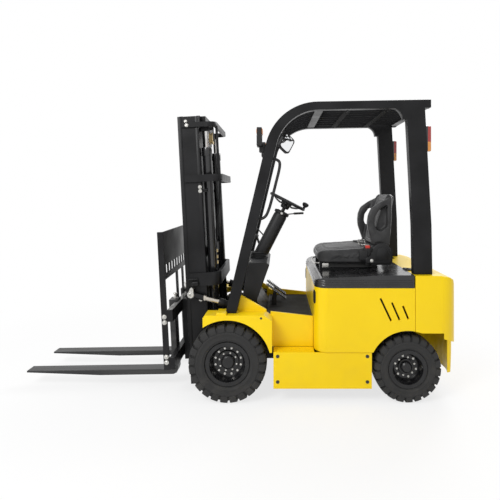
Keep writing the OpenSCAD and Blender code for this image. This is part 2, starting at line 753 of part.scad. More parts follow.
// Outer mast: channel rails, wrapped crossmembers, foot plate, bearings on the axle and bosses for the tilt pins
module outer_mast() {
    color(paint_black) leaned() {
        both_sides() {
            translate([0, 0, mast_low]) linear_extrude(mast_height - mast_low) outer_section();
            difference() {
                side_view(bracket_y, mast_half) {
                    polygon([[rail_back + past, 150], [rail_back + past, 390], [20, front_r + 92],
                        [-20, front_r + 92], [-20, front_r - 92], [20, front_r - 92]]);
                    translate([0, front_r]) circle(94);
                }
                cross_rod(0, front_r, axle_tube_r + running, bracket_y - past, mast_half + past);
            }
            cross_rod(tilt_pin_x, tilt_pin_z, tilt_pin_r + 18, mast_half - past, pin_seat);
            cross_rod(rail_mid, top_roller_z, roller_r, inner_web_y + rail_web / 2 + 2, inner_half - 2);
            cross_rod(rail_mid, top_roller_z, 18, inner_half - 2, mast_half - rail_web / 2);
            span([rail_back - past, chain_y - 20, mast_low], [sheave_x - chain_run + 20, chain_y + 20, mast_low + 26]);
        }
        wrap(18, mast_height - 80, mast_height - 45);
        wrap(-5, mast_height - 475, mast_height - 423);
        wrap(40, tilt_pin_z + 52, tilt_pin_z + 145);
        span([rail_back - 82, -mast_half, mast_low], [rail_back, mast_half, mast_low + 30]);
    }
}

// Tilt pins with their end collars, on the outer rails' bosses
module tilt_pins() {
    color(bare_steel) leaned() both_sides() {
        cross_rod(tilt_pin_x, tilt_pin_z, tilt_pin_r, pin_seat, tilt_y + 22);
        cross_rod(tilt_pin_x, tilt_pin_z, tilt_pin_r + 8, tilt_y + 18, tilt_y + 26);
    }
}

module lift_barrels() {
    color(paint_black) leaned() both_sides() translate([lift_x, lift_y, 0]) difference() {
        union() {
            translate([0, 0, mast_low + 30]) cylinder(r = lift_barrel_r, h = lift_barrel_top - mast_low - 30);
            translate([0, 0, lift_barrel_top - 60]) cylinder(r = lift_barrel_r + 4, h = 60);
        }
        translate([0, 0, mast_low + 38]) cylinder(r = lift_rod_r + running, h = mast_height);
    }
}

module lift_rods() {
    color(bare_steel) leaned() both_sides() translate([lift_x, lift_y, inner_low + 40])
        cylinder(r = lift_rod_r, h = rod_head_z - inner_low - 40);
}

module inner_section() {
    for (x = [rail_back, rail_front - rail_flange]) translate([x, inner_half - inner_w]) square([rail_flange, inner_w]);
    translate([rail_back, inner_web_y - rail_web / 2]) square([rail_depth, rail_web]);
}

// Inner mast: I-section rails, crossmembers, arms to the lift rods, chain sheaves and the lower rollers
module inner_mast() {
    tie = inner_half - inner_w + 38;
    color(paint_black) leaned() {
        both_sides() {
            translate([0, 0, inner_low]) linear_extrude(inner_top - inner_low) inner_section();
            cross_rod(rail_mid, inner_low + 60, roller_r, outer_flange_in + 2, mast_half - rail_web - 4);
            cross_rod(rail_mid, inner_low + 60, 18, inner_web_y, outer_flange_in + 2);
            span([lift_x - 24, inner_half - 40, rod_head_z], [rail_back + past, inner_half, rod_head_z + 32]);
            span([lift_x - 24, inner_half - past, rod_head_z], [rail_back - beside, lift_y + 24, rod_head_z + 32]);
            span([rail_back - 10, chain_y - 32, sheave_z - 26], [sheave_x + 16, chain_y - 24, sheave_z + 26]);
            cross_rod(sheave_x, sheave_z, 12, chain_y - 32, chain_y + 20);
            cross_rod(sheave_x, sheave_z, sheave_r, chain_y - 18, chain_y + 18);
        }
        for (z = [[inner_low + 24, 84], [960, 70], [inner_top - 100, 100]])
            span([rail_back - 36, -tie, z[0]], [rail_back + past, tie, z[0] + z[1]]);
    }
}

lug_z = carriage_low + 200;

// Chains from the carriage up and over the sheaves
module carriage_chains() {
    color("dimgray") leaned() both_sides() {
        span([sheave_x + chain_run - chain_t / 2, chain_y - chain_w / 2, lug_z + 30.3],
            [sheave_x + chain_run + chain_t / 2, chain_y + chain_w / 2, sheave_z]);
        difference() {
            cross_rod(sheave_x, sheave_z, chain_run + chain_t / 2, chain_y - chain_w / 2, chain_y + chain_w / 2);
            cross_rod(sheave_x, sheave_z, chain_run - chain_t / 2, chain_y - chain_w, chain_y + chain_w);
            span([sheave_x - 100, chain_y - chain_w, sheave_z - 100], [sheave_x + 100, chain_y + chain_w, sheave_z]);
        }
    }
}

// Chains from the sheaves down to their anchors at the mast's foot
module anchor_chains() {
    color("dimgray") leaned() both_sides()
        span([sheave_x - chain_run - chain_t / 2, chain_y - chain_w / 2, mast_low + 26.3],
            [sheave_x - chain_run + chain_t / 2, chain_y + chain_w / 2, sheave_z - 0.3]);
}

// Fork carriage: two bars on roller plates that run inside the inner mast
module carriage() {
    color(paint_black) leaned() {
        for (z = [carriage_low, carriage_top - bar_h])
            span([bar_back, -carriage_half, z], [fork_back, carriage_half, z + bar_h]);
        both_sides() {
            span([rail_mid - 32, plate_y - 20, carriage_low - 44], [bar_back + past, plate_y, carriage_top]);
            for (z = [roller_low, roller_high]) {
                cross_rod(rail_mid, z, roller_r, inner_half - inner_w + 2, inner_web_y - rail_web / 2 - 2);
                cross_rod(rail_mid, z, 20, plate_y - 20, inner_half - inner_w + 2);
            }
            span([sheave_x + chain_run - 14, chain_y - 20, lug_z], [bar_back + past, chain_y + 20, lug_z + 30]);
            span([bar_back - 20, chain_y - 20, carriage_low], [bar_back + past, chain_y + 20, carriage_top]);
        }
    }
}

// Load backrest: side plates, a sheet with a row of slots and two short posts
module load_backrest() {
    sheet_low = 846;
    slots = 11;
    pitch = 2 * (carriage_half - 30) / slots;
    color(paint_black) leaned() {
        both_sides() {
            span([fork_back, carriage_half - 14, carriage_low - 2], [fork_face, carriage_half, backrest_top]);
            span([fork_back, 80, carriage_top - bar_h], [fork_back + 12, 120, sheet_low + past]);
        }
        difference() {
            span([fork_back, -carriage_half + 13, sheet_low], [fork_back + 8, carriage_half - 13, backrest_top]);
            for (i = [0 : slots - 1]) translate([fork_back - past, -carriage_half + 30 + (i + 0.5) * pitch - 25, sheet_low + 40])
                cube([20, 50, 60]);
        }
    }
}

module fork(side) {
    y = side * fork_spacing / 2;
    heel = 34;
    tip_t = 12;
    rise = tan(fork_set);
    color(paint_black) leaned() side_view(y - fork_width / 2, y + fork_width / 2) polygon([
        [fork_back, fork_height + heel], [fork_back + 10, fork_height + 10], [fork_back + heel, fork_height],
        [fork_face + fork_length * 0.5, fork_height + fork_length * 0.5 * rise],
        [fork_tip, fork_tip_z - tip_t], [fork_tip, fork_tip_z],
        [fork_face + heel, fork_height + fork_thickness + heel * rise],
        [fork_face + 8, fork_height + fork_thickness + 10], [fork_face, fork_height + fork_thickness + heel],
        [fork_face, carriage_top + 20], [fork_back - 26, carriage_top + 20], [fork_back - 26, carriage_top],
        [fork_back, carriage_top], [fork_back, carriage_low], [fork_back - 24, carriage_low],
        [fork_back - 24, carriage_low - 18], [fork_back, carriage_low - 30]]);
}

// Draws along a tilt cylinder, with its X from the rear anchor to the pin on the mast
module on_tilt(side) {
    truck() on_side(side) translate([-tilt_anchor_x, tilt_y, tilt_anchor_z]) rotate([0, -tilt_angle, 0]) children();
}

module along_x(r, x0, x1) { translate([x0, 0, 0]) rotate([0, 90, 0]) cylinder(r = r, h = x1 - x0); }

module tilt_barrel(side) {
    color(paint_black) on_tilt(side) difference() {
        union() {
            cross_rod(0, 0, tilt_barrel_r, -24, 24);
            along_x(tilt_barrel_r, 10, tilt_gland);
            along_x(tilt_barrel_r + 4, tilt_gland - 46, tilt_gland);
        }
        cross_rod(0, 0, anchor_pin_r + running, -30, 30);
        along_x(tilt_rod_r + running, 50, tilt_gland + past);
    }
}

module tilt_rod(side) {
    color(bare_steel) on_tilt(side) difference() {
        union() {
            along_x(tilt_rod_r, 150, tilt_length - 24);
            along_x(tilt_rod_r + 6, tilt_length - 110, tilt_length - 36);
            cross_rod(tilt_length, 0, tilt_pin_r + eye_gap + 12, -13, 13);
        }
        cross_rod(tilt_length, 0, tilt_pin_r + eye_gap, -20, 20);
    }
}

// Hood and seat

function deck_z(x) = case_height + 67 + (-640 - x) * 20 / 460;
cushion_back = -seat_front - seat_length;

hinge_y = 300;
hinge_pin_r = 4;
hinge_barrel_r = 7.5;
hinge_barrel_half = 18;
hinge_lug_r = 9;
hinge_lug_t = 10;
hinge_room = 4;
hinge_plate_t = 8;
hinge_outer = hinge_barrel_half + hinge_room + hinge_lug_t;
nose_r = 40;

// Hood: moulded lid with a rolled nose, hollow below, notched at the back round its two hinge barrels
module hood() {
    front = -case_start - 2;
    nose_z = case_height + 62 - nose_r;
    notch = hinge_barrel_r + hinge_room;
    color(plastic_black) truck() {
        difference() {
            intersection() {
                side_view(-body_half, body_half) {
                    polygon([[front, case_height + 0.5], [front, nose_z], [front - nose_r, nose_z + nose_r],
                        [-640, deck_z(-640)], [-1100, deck_z(-1100)], [hood_hinge_x, deck_z(-1100)],
                        [hood_hinge_x, case_height + 0.5]]);
                    translate([front - nose_r, nose_z]) difference() {
                        circle(nose_r);
                        translate([-2 * nose_r, -2 * nose_r]) square([4 * nose_r, 2 * nose_r]);
                    }
                }
                linear_extrude(2 * case_height) rounded_plan(hood_hinge_x, front, body_half - 1, case_corner - 2);
            }
            span([hood_hinge_x + 30, -body_half + 30, case_height - past], [front - 46, body_half - 30, case_height + 40]);
            both_sides() span([hood_hinge_x - past, hinge_y - hinge_outer - hinge_room, hood_hinge_z - notch],
                [hood_hinge_x + notch, hinge_y + hinge_outer + hinge_room, hood_hinge_z + notch]);
        }
        both_sides() difference() {
            union() {
                cross_rod(hood_hinge_x, hood_hinge_z, hinge_barrel_r, hinge_y - hinge_barrel_half, hinge_y + hinge_barrel_half);
                span([hood_hinge_x, hinge_y - hinge_barrel_half, hood_hinge_z - hinge_barrel_r],
                    [hood_hinge_x + notch + past, hinge_y + hinge_barrel_half, hood_hinge_z]);
            }
            cross_rod(hood_hinge_x, hood_hinge_z, hinge_pin_r + running, hinge_y - hinge_outer, hinge_y + hinge_outer);
        }
    }
}

// Hinge brackets bolted on the counterweight's top: a plate, two lugs and the pin that carries the hood
module hood_hinges() {
    color(paint_black) truck() both_sides() {
        cross_rod(hood_hinge_x, hood_hinge_z, hinge_pin_r, hinge_y - hinge_outer, hinge_y + hinge_outer);
        span([-seam - 62, hinge_y - hinge_outer, weight_top], [-seam - 22, hinge_y + hinge_outer, weight_top + hinge_plate_t]);
        for (y = [hinge_y - hinge_outer, hinge_y + hinge_outer - hinge_lug_t]) side_view(y, y + hinge_lug_t) difference() {
            union() {
                translate([hood_hinge_x, hood_hinge_z]) circle(hinge_lug_r);
                polygon([[-seam - 62, weight_top], [-seam - 62, weight_top + hinge_plate_t],
                    [hood_hinge_x, hood_hinge_z + hinge_lug_r], [hood_hinge_x, weight_top]]);
            }
            translate([-seam - 100, weight_top - 100]) square([100.5, 100]);
        }
    }
}

recliner_y = seat_w / 2 + 2;
recliner_t = 10;
recliner_x = cushion_back - 33;

// Seat rails and suspension on the hood's deck, with the recliner plates beside the cushion
module seat_base() {
    front = -seat_front - 30;
    back = cushion_back + 20;
    color(paint_black) truck() {
        both_sides() {
            side_view(150, 190) polygon([[front, deck_z(front)], [front, seat_z], [back, seat_z], [back, deck_z(back)]]);
            side_view(recliner_y, recliner_y + recliner_t) {
                translate([recliner_x, seat_z + 85]) circle(46);
                polygon([[recliner_x - 45, seat_z + 85], [recliner_x - 45, seat_z + 10], [recliner_x - 30, seat_z - 12],
                    [recliner_x + 92, seat_z - 12], [recliner_x + 92, seat_z + 12], [recliner_x + 45, seat_z + 60]]);
            }
        }
        side_view(-120, 120) polygon([[front - 70, deck_z(front - 70)], [front - 60, seat_z - 4], [back + 30, seat_z - 4],
            [back + 20, deck_z(back + 20)]]);
        span([back + 20, -recliner_y - recliner_t, seat_z - 12], [back + 60, recliner_y + recliner_t, seat_z]);
    }
}

// Cushion: rises to the back, with a rolled front edge and rounded corners
module seat_cushion() {
    top = seat_z + cushion_t;
    color(plastic_black) truck() intersection() {
        side_view(-seat_w / 2, seat_w / 2) polygon([[-seat_front, seat_z + 42], [-seat_front - 6, seat_z + 16],
            [-seat_front - 28, seat_z], [cushion_back, seat_z], [cushion_back, top + 26], [cushion_back + 60, top + 26],
            [-seat_front - 160, top + 8], [-seat_front - 70, top], [-seat_front - 22, top - 14], [-seat_front - 5, top - 34]]);
        linear_extrude(2 * seat_z) rounded_plan(cushion_back, -seat_front, seat_w / 2, 110);
    }
}

// Wing loop and its opening, from the back of the cushion and its top
wing_loop = [[54, 30], [74, 92], [92, 150], [96, 198], [90, 255], [68, 305], [8, 349], [-66, 389], [-84, 396],
    [-86, 250], [-72, 30]];
wing_opening = [[40, 196], [34, 246], [4, 294], [-52, 334], [-54, 172], [-10, 138], [26, 152]];
wing_w = 58;

// Back: padded middle between two open wing loops that curve forward
module seat_back() {
    half = seat_w / 2 - 15;
    lift = seat_z + cushion_t;
    color(plastic_black) truck() {
        side_view(wing_w - half, half - wing_w) polygon([[cushion_back + 50, lift + 30.3],
            [cushion_back + 12, lift + 200], [cushion_back - 24, back_top - 24], [cushion_back - 46, back_top],
            [cushion_back - 80, back_top - 22], [cushion_back - 66, lift + 180], [cushion_back - 50, seat_z + 36],
            [cushion_back - 0.3, seat_z + 36], [cushion_back - 0.3, lift + 30.3]]);
        both_sides() side_view(half - wing_w - past, half) translate([cushion_back, lift]) difference() {
            polygon(wing_loop);
            polygon(wing_opening);
        }
    }
}

frame();
front_axle();
steer_axle();
front_fenders();
step_covers();
battery_case();
counterweight();
battery();
floor_mat();
dash_cowl();
steering_column();
pedals();
control_levers();
overhead_guard();
roof_bars_panel();
grab_handle();
front_lamps();
rear_lamps();
mirror_arm();  // mirror
outer_mast();
tilt_pins();
lift_barrels();
anchor_chains();
inner_mast();
lift_rods();
carriage_chains();
carriage();
load_backrest();
fork(1);  // fork_left
fork(-1);  // fork_right
tilt_barrel(1);  // tilt_barrel_left
tilt_barrel(-1);  // tilt_barrel_right
tilt_rod(1);  // tilt_rod_left
tilt_rod(-1);  // tilt_rod_right
front_tyre(1);  // front_tyre_left
front_tyre(-1);  // front_tyre_right
front_rim(1);  // front_rim_left
front_rim(-1);  // front_rim_right
knuckle(1);  // knuckle_left
knuckle(-1);  // knuckle_right
rear_tyre(1);  // rear_tyre_left
rear_tyre(-1);  // rear_tyre_right
rear_rim(1);  // rear_rim_left
rear_rim(-1);  // rear_rim_right
steering_wheel();
hood();
hood_hinges();
seat_base();
seat_cushion();
seat_back();
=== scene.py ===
# Four-wheel electric counterbalance forklift, dressed over its CAD frame.
# Metres. +X points to the forks, +Y to the driver's left, +Z up, the ground at Z = 0.
import math

import bmesh
import bpy
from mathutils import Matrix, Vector
from mathutils.bvhtree import BVHTree
from mathutils.kdtree import KDTree


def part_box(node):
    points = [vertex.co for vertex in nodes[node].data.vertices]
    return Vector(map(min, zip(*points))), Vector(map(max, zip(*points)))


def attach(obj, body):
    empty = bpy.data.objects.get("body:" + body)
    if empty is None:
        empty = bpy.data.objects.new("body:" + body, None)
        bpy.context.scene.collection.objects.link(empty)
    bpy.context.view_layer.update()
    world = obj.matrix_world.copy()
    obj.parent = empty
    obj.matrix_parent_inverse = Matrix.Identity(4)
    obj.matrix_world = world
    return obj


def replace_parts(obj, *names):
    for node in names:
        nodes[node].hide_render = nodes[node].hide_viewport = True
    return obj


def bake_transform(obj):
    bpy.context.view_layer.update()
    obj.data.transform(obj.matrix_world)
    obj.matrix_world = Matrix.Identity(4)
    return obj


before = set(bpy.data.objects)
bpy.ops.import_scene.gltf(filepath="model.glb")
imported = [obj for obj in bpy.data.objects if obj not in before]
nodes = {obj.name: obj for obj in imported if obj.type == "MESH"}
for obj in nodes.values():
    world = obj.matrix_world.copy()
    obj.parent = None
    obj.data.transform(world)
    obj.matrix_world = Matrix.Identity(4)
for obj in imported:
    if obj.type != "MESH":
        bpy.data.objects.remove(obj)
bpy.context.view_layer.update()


# Studio
# A pale sweep of floor under two large soft lamps and an even white room.
# The camera stands square on the truck's left side, a little above the seat back.
PHOTO_SIZE = 500
OPTICAL_CENTRE = (278, 193)
FOCAL_PIXELS = 452
SENSOR_WIDTH = 36
CAMERA_PLACE = (-0.312, 3.57, 1.42)

scene = bpy.context.scene
scene.view_settings.view_transform = "Standard"
camera_data = bpy.data.cameras.new("camera")
camera_data.sensor_width = SENSOR_WIDTH
camera_data.lens = SENSOR_WIDTH * FOCAL_PIXELS / PHOTO_SIZE
camera_data.shift_x = 0.5 - OPTICAL_CENTRE[0] / PHOTO_SIZE
camera_data.shift_y = OPTICAL_CENTRE[1] / PHOTO_SIZE - 0.5
camera = bpy.data.objects.new("camera", camera_data)
camera.location = CAMERA_PLACE
camera.rotation_euler = (math.radians(90), 0, math.radians(180))
scene.collection.objects.link(camera)
scene.camera = camera


def area_lamp(name, place, target, size, watts):
    data = bpy.data.lights.new(name, "AREA")
    data.shape = "DISK"
    data.size = size
    data.energy = watts
    lamp = bpy.data.objects.new(name, data)
    lamp.location = place
    lamp.rotation_euler = (Vector(target) - Vector(place)).to_track_quat("-Z", "Y").to_euler()
    scene.collection.objects.link(lamp)


area_lamp("key_lamp", (2.4, 4.2, 4.4), (-0.2, 0, 0.7), 2.6, 190)
area_lamp("back_lamp", (-3.4, -3.6, 4.2), (-0.3, 0, 0.9), 2.6, 150)


def seen_rays(tree):
    """One for what the camera sees, straight, in gloss or in glass; zero for light that falls on things."""
    rays = tree.nodes.new("ShaderNodeLightPath")
    gloss = tree.nodes.new("ShaderNodeMath")
    gloss.operation = "MAXIMUM"
    seen = tree.nodes.new("ShaderNodeMath")
    seen.operation = "MAXIMUM"
    tree.links.new(rays.outputs["Is Camera Ray"], gloss.inputs[0])
    tree.links.new(rays.outputs["Is Glossy Ray"], gloss.inputs[1])
    tree.links.new(gloss.outputs[0], seen.inputs[0])
    tree.links.new(rays.outputs["Is Transmission Ray"], seen.inputs[1])
    return seen.outputs[0]


def mix_white(tree, fac, shader, kind, out_socket):
    white = tree.nodes.new(kind)
    white.inputs["Color"].default_value = (1, 1, 1, 1)
    white.inputs["Strength"].default_value = 1.0
    mix = tree.nodes.new("ShaderNodeMixShader")
    tree.links.new(fac, mix.inputs[0])
    tree.links.new(shader.outputs[0], mix.inputs[1])
    tree.links.new(white.outputs[0], mix.inputs[2])
    tree.links.new(mix.outputs[0], out_socket)


ROOM_LIGHT = 0.62
world = bpy.data.worlds.new("white_room")
world.use_nodes = True
scene.world = world
tree = world.node_tree
room = tree.nodes["Background"]
room.inputs["Color"].default_value = (1, 1, 1, 1)
room.inputs["Strength"].default_value = ROOM_LIGHT
mix_white(tree, seen_rays(tree), room, "ShaderNodeBackground", tree.nodes["World Output"].inputs["Surface"])

FLOOR_REACH = 30
FLOOR_DROP = -0.001
FLOOR_FADE = (1.3, 3.4)
FLOOR_WHITE = (0.74, 1.0)
floor_mesh = bpy.data.meshes.new("floor")
floor_mesh.from_pydata([(x * FLOOR_REACH, y * FLOOR_REACH, FLOOR_DROP)
                        for x, y in ((-1, -1), (1, -1), (1, 1), (-1, 1))], [], [(0, 1, 2, 3)])
floor = bpy.data.objects.new("floor", floor_mesh)
scene.collection.objects.link(floor)
floor_paint = bpy.data.materials.new("pale_floor")
floor_paint.use_nodes = True
tree = floor_paint.node_tree
shader = tree.nodes["Principled BSDF"]
shader.inputs["Base Color"].default_value = (0.93, 0.93, 0.93, 1)
shader.inputs["Roughness"].default_value = 0.9
shader.inputs["Specular IOR Level"].default_value = 0.1
place = tree.nodes.new("ShaderNodeTexCoord")
reach = tree.nodes.new("ShaderNodeVectorMath")
reach.operation = "LENGTH"
fade = tree.nodes.new("ShaderNodeMapRange")
fade.interpolation_type = "SMOOTHSTEP"
fade.inputs["From Min"].default_value, fade.inputs["From Max"].default_value = FLOOR_FADE
fade.inputs["To Min"].default_value, fade.inputs["To Max"].default_value = FLOOR_WHITE
share = tree.nodes.new("ShaderNodeMath")
share.operation = "MULTIPLY"
tree.links.new(place.outputs["Object"], reach.inputs[0])
tree.links.new(reach.outputs["Value"], fade.inputs["Value"])
tree.links.new(fade.outputs["Result"], share.inputs[0])
tree.links.new(seen_rays(tree), share.inputs[1])
mix_white(tree, share.outputs[0], shader, "ShaderNodeEmission",
          tree.nodes["Material Output"].inputs["Surface"])
floor_mesh.materials.append(floor_paint)


# Painted sheet metal of the body
# Fenders, step covers and battery case are folded and welded steel sheet, and the counterweight is a casting.
# All are sprayed in one warm yellow enamel with a clear gloss and a trace of orange peel.
def new_finish(name, color, rough, metal=0.0, coat=0.0):
    finish = bpy.data.materials.new(name)
    finish.use_nodes = True
    shader = finish.node_tree.nodes["Principled BSDF"]
    shader.inputs["Base Color"].default_value = (*color, 1)
    shader.inputs["Roughness"].default_value = rough
    shader.inputs["Metallic"].default_value = metal
    shader.inputs["Coat Weight"].default_value = coat
    shader.inputs["Coat Roughness"].default_value = 0.08
    return finish, finish.node_tree, shader


def object_place(tree, centre=(0, 0, 0), stretch=(1, 1, 1)):
    place = tree.nodes.new("ShaderNodeTexCoord")
    turn = tree.nodes.new("ShaderNodeMapping")
    turn.vector_type = "TEXTURE"
    turn.inputs["Location"].default_value = centre
    turn.inputs["Scale"].default_value = [1 / s for s in stretch]
    tree.links.new(place.outputs["Object"], turn.inputs["Vector"])
    return turn.outputs["Vector"]


def object_noise(tree, scale, detail=4.0, stretch=(1, 1, 1)):
    noise = tree.nodes.new("ShaderNodeTexNoise")
    noise.inputs["Scale"].default_value = scale
    noise.inputs["Detail"].default_value = detail
    tree.links.new(object_place(tree, stretch=stretch), noise.inputs["Vector"])
    return noise.outputs["Fac"]


def ramp_color(tree, fac, stops, stepped=False):
    ramp = tree.nodes.new("ShaderNodeValToRGB")
    if stepped:
        ramp.color_ramp.interpolation = "CONSTANT"
    while len(ramp.color_ramp.elements) < len(stops):
        ramp.color_ramp.elements.new(0.5)
    for element, (position, color) in zip(ramp.color_ramp.elements, stops):
        element.position = position
        element.color = (*color, 1)
    tree.links.new(fac, ramp.inputs["Fac"])
    return ramp.outputs["Color"]


def vary_color(tree, shader, fac, dark, light, low=0.35, high=0.65):
    tree.links.new(ramp_color(tree, fac, ((low, dark), (high, light))), shader.inputs["Base Color"])


def spread(tree, fac, low, high, start=0.0, end=1.0):
    node = tree.nodes.new("ShaderNodeMapRange")
    node.inputs["From Min"].default_value = start
    node.inputs["From Max"].default_value = end
    node.inputs["To Min"].default_value = low
    node.inputs["To Max"].default_value = high
    tree.links.new(fac, node.inputs["Value"])
    return node.outputs["Result"]


def vary_rough(tree, shader, fac, low, high):
    tree.links.new(spread(tree, fac, low, high, 0.3, 0.7), shader.inputs["Roughness"])


def bump(tree, shader, height, distance, strength=1.0):
    node = tree.nodes.new("ShaderNodeBump")
    node.inputs["Distance"].default_value = distance
    node.inputs["Strength"].default_value = strength
    tree.links.new(height, node.inputs["Height"])
    tree.links.new(node.outputs["Normal"], shader.inputs["Normal"])


def mixed_color(tree, fac, first, second):
    mix = tree.nodes.new("ShaderNodeMix")
    mix.data_type = "RGBA"
    tree.links.new(fac, mix.inputs["Factor"])
    tree.links.new(first, mix.inputs[6])
    mix.inputs[7].default_value = (*second, 1)
    return mix.outputs[2]


def road_dust(tree, top):
    """Share of dust on a surface: full at the ground, broken by noise, none above the given height."""
    split = tree.nodes.new("ShaderNodeSeparateXYZ")
    tree.links.new(object_place(tree), split.inputs[0])
    height = spread(tree, split.outputs["Z"], 1.0, 0.0, 0.05, top)
    patch = spread(tree, object_noise(tree, 11.0, 6.0), 0.0, 1.0, 0.42, 0.75)
    share = tree.nodes.new("ShaderNodeMath")
    share.operation = "MULTIPLY"
    tree.links.new(height, share.inputs[0])
    tree.links.new(patch, share.inputs[1])
    return share.outputs[0]


yellow_enamel, tree, shader = new_finish("yellow_enamel", (0.91, 0.635, 0.004), 0.34, coat=0.06)
shader.inputs["Specular IOR Level"].default_value = 0.24
cloud = object_noise(tree, 2.6)
sprayed = ramp_color(tree, cloud, ((0.3, (0.89, 0.61, 0.003)), (0.7, (0.92, 0.65, 0.005))))
tree.links.new(mixed_color(tree, spread(tree, road_dust(tree, 0.75), 0.0, 0.1), sprayed, (0.5, 0.33, 0.06)),
               shader.inputs["Base Color"])
vary_rough(tree, shader, cloud, 0.3, 0.42)
bump(tree, shader, object_noise(tree, 190, 2.0), 0.0006, 0.3)


edge_plan = []


def finish_node(name, material, edge=0.0, steps=2):
    """Gives a CAD node its finish, and notes the radius that its sharp edges get in the last section."""
    nodes[name].data.materials.clear()
    nodes[name].data.materials.append(material)
    if edge:
        edge_plan.append((name, edge, steps))


finish_node("front_fenders", yellow_enamel, 0.006, 3)
finish_node("step_covers", yellow_enamel, 0.003)
finish_node("battery_case", yellow_enamel, 0.004, 3)
finish_node("counterweight", yellow_enamel, 0.009, 3)

SHARP_ANGLE = math.radians(34)


def new_piece(name, shape, material, body):
    """Closes a bmesh into a named piece that rides on a body."""
    bmesh.ops.remove_doubles(shape, verts=shape.verts, dist=1e-6)
    bmesh.ops.recalc_face_normals(shape, faces=shape.faces)
    for face in shape.faces:
        face.smooth = True
    for edge in shape.edges:
        edge.smooth = len(edge.link_faces) == 2 and edge.calc_face_angle(0.0) < SHARP_ANGLE
    mesh = bpy.data.meshes.new(name)
    shape.to_mesh(mesh)
    shape.free()
    mesh.materials.append(material)
    piece = bpy.data.objects.new(name, mesh)
    scene.collection.objects.link(piece)
    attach(piece, body)
    return piece


def rounded_box(shape, low, high, radius, steps=3):
    low, high = Vector(low), Vector(high)
    made = bmesh.ops.create_cube(shape, size=1.0)["verts"]
    for vert in made:
        vert.co = (low + high) / 2 + Vector(a * b for a, b in zip(vert.co, high - low))
    edges = list({edge for vert in made for edge in vert.link_edges})
    bmesh.ops.bevel(shape, geom=edges, offset=radius, segments=steps, profile=0.5, affect="EDGES")


AXLE_X = (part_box("front_tyre_left")[0][0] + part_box("front_tyre_left")[1][0]) / 2
PAD_RISE = 0.015
shape = bmesh.new()
for side in (1, -1):
    y0, y1 = sorted((side * 0.404, side * 0.53))
    rounded_box(shape, (AXLE_X + 0.006, y0, 0.59), (AXLE_X + 0.074, y1, 0.596 + PAD_RISE), 0.005)
new_piece("guard_foot_pads", shape, yellow_enamel, "chassis")


# Bolts
# Hexagon bolts with plain washers, blackened on the covers and zinc-plated on the backrest and the mast.
# One Geometry Nodes tree sets a head on each point, along the point's own facing and at its own size.
def grow_tree(name, sizes):
    tree = bpy.data.node_groups.new(name, "GeometryNodeTree")
    tree.interface.new_socket("Geometry", in_out="INPUT", socket_type="NodeSocketGeometry")
    for size, kind in sizes.items():
        tree.interface.new_socket(size, in_out="INPUT", socket_type="NodeSocket" + kind)
    tree.interface.new_socket("Geometry", in_out="OUTPUT", socket_type="NodeSocketGeometry")
    return tree, tree.nodes.new("NodeGroupInput"), tree.nodes.new("NodeGroupOutput")


def tree_node(tree, kind, **values):
    node = tree.nodes.new(kind)
    for name, value in values.items():
        socket = node.inputs[name.replace("_", " ")]
        if isinstance(value, bpy.types.NodeSocket):
            tree.links.new(value, socket)
        else:
            socket.default_value = value
    return node


def point_value(tree, name, kind):
    node = tree.nodes.new("GeometryNodeInputNamedAttribute")
    node.data_type = kind
    node.inputs["Name"].default_value = name
    return node.outputs["Attribute"]


def finish_tree(tree, given, instances, result):
    """Ends a tree with plain faces in the given material."""
    real = tree_node(tree, "GeometryNodeRealizeInstances", Geometry=instances)
    skin = tree_node(tree, "GeometryNodeSetMaterial", Geometry=real.outputs[0],
                     Material=given.outputs["Material"])
    tree.links.new(skin.outputs[0], result.inputs[0])


def joined(tree, parts):
    join = tree.nodes.new("GeometryNodeJoinGeometry")
    for part in parts:
        tree.links.new(part, join.inputs[0])
    return join.outputs[0]


def grown(name, base, tree, values, material, body):
    """Runs a tree on a base mesh and keeps the plain mesh that it makes as a piece on a body."""
    piece = bpy.data.objects.new(name, base)
    scene.collection.objects.link(piece)
    growth = piece.modifiers.new("growth", "NODES")
    growth.node_group = tree
    for item in tree.interface.items_tree:
        if item.in_out == "INPUT" and item.name in values:
            growth[item.identifier] = values[item.name]
        elif item.in_out == "INPUT" and item.name == "Material":
            growth[item.identifier] = material
    graph = bpy.context.evaluated_depsgraph_get()
    mesh = bpy.data.meshes.new_from_object(piece.evaluated_get(graph), depsgraph=graph)
    piece.modifiers.clear()
    piece.data = mesh
    mesh.name = name
    if body:
        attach(piece, body)
    return piece


def marked_points(name, rows):
    """A mesh of bare points from rows of place, facing and size."""
    mesh = bpy.data.meshes.new(name)
    mesh.from_pydata([row[0] for row in rows], [], [])
    facing = mesh.attributes.new("facing", "FLOAT_VECTOR", "POINT")
    facing.data.foreach_set("vector", [c for row in rows for c in Vector(row[1]).normalized()])
    size = mesh.attributes.new("size", "FLOAT", "POINT")
    size.data.foreach_set("value", [row[2] for row in rows])
    return mesh


bolt_tree, given, result = grow_tree("bolt_heads", {"Head": "Float", "Washer": "Float", "Sides": "Int",
                                                    "Material": "Material"})
washer = tree_node(bolt_tree, "GeometryNodeMeshCone", Vertices=18, Radius_Bottom=given.outputs["Washer"],
                   Radius_Top=given.outputs["Washer"], Depth=0.22)
head = tree_node(bolt_tree, "GeometryNodeMeshCone", Vertices=given.outputs["Sides"], Radius_Bottom=1.0,
                 Radius_Top=0.97, Depth=given.outputs["Head"])
crown = tree_node(bolt_tree, "GeometryNodeMeshCone", Vertices=given.outputs["Sides"], Radius_Bottom=0.97,
                  Radius_Top=0.78, Depth=0.14)
lift = tree_node(bolt_tree, "ShaderNodeCombineXYZ", Z=given.outputs["Head"])
raised = tree_node(bolt_tree, "GeometryNodeTransform", Geometry=crown.outputs[0], Translation=lift.outputs[0])
turn = tree_node(bolt_tree, "FunctionNodeAlignRotationToVector",
                 Vector=point_value(bolt_tree, "facing", "FLOAT_VECTOR"))
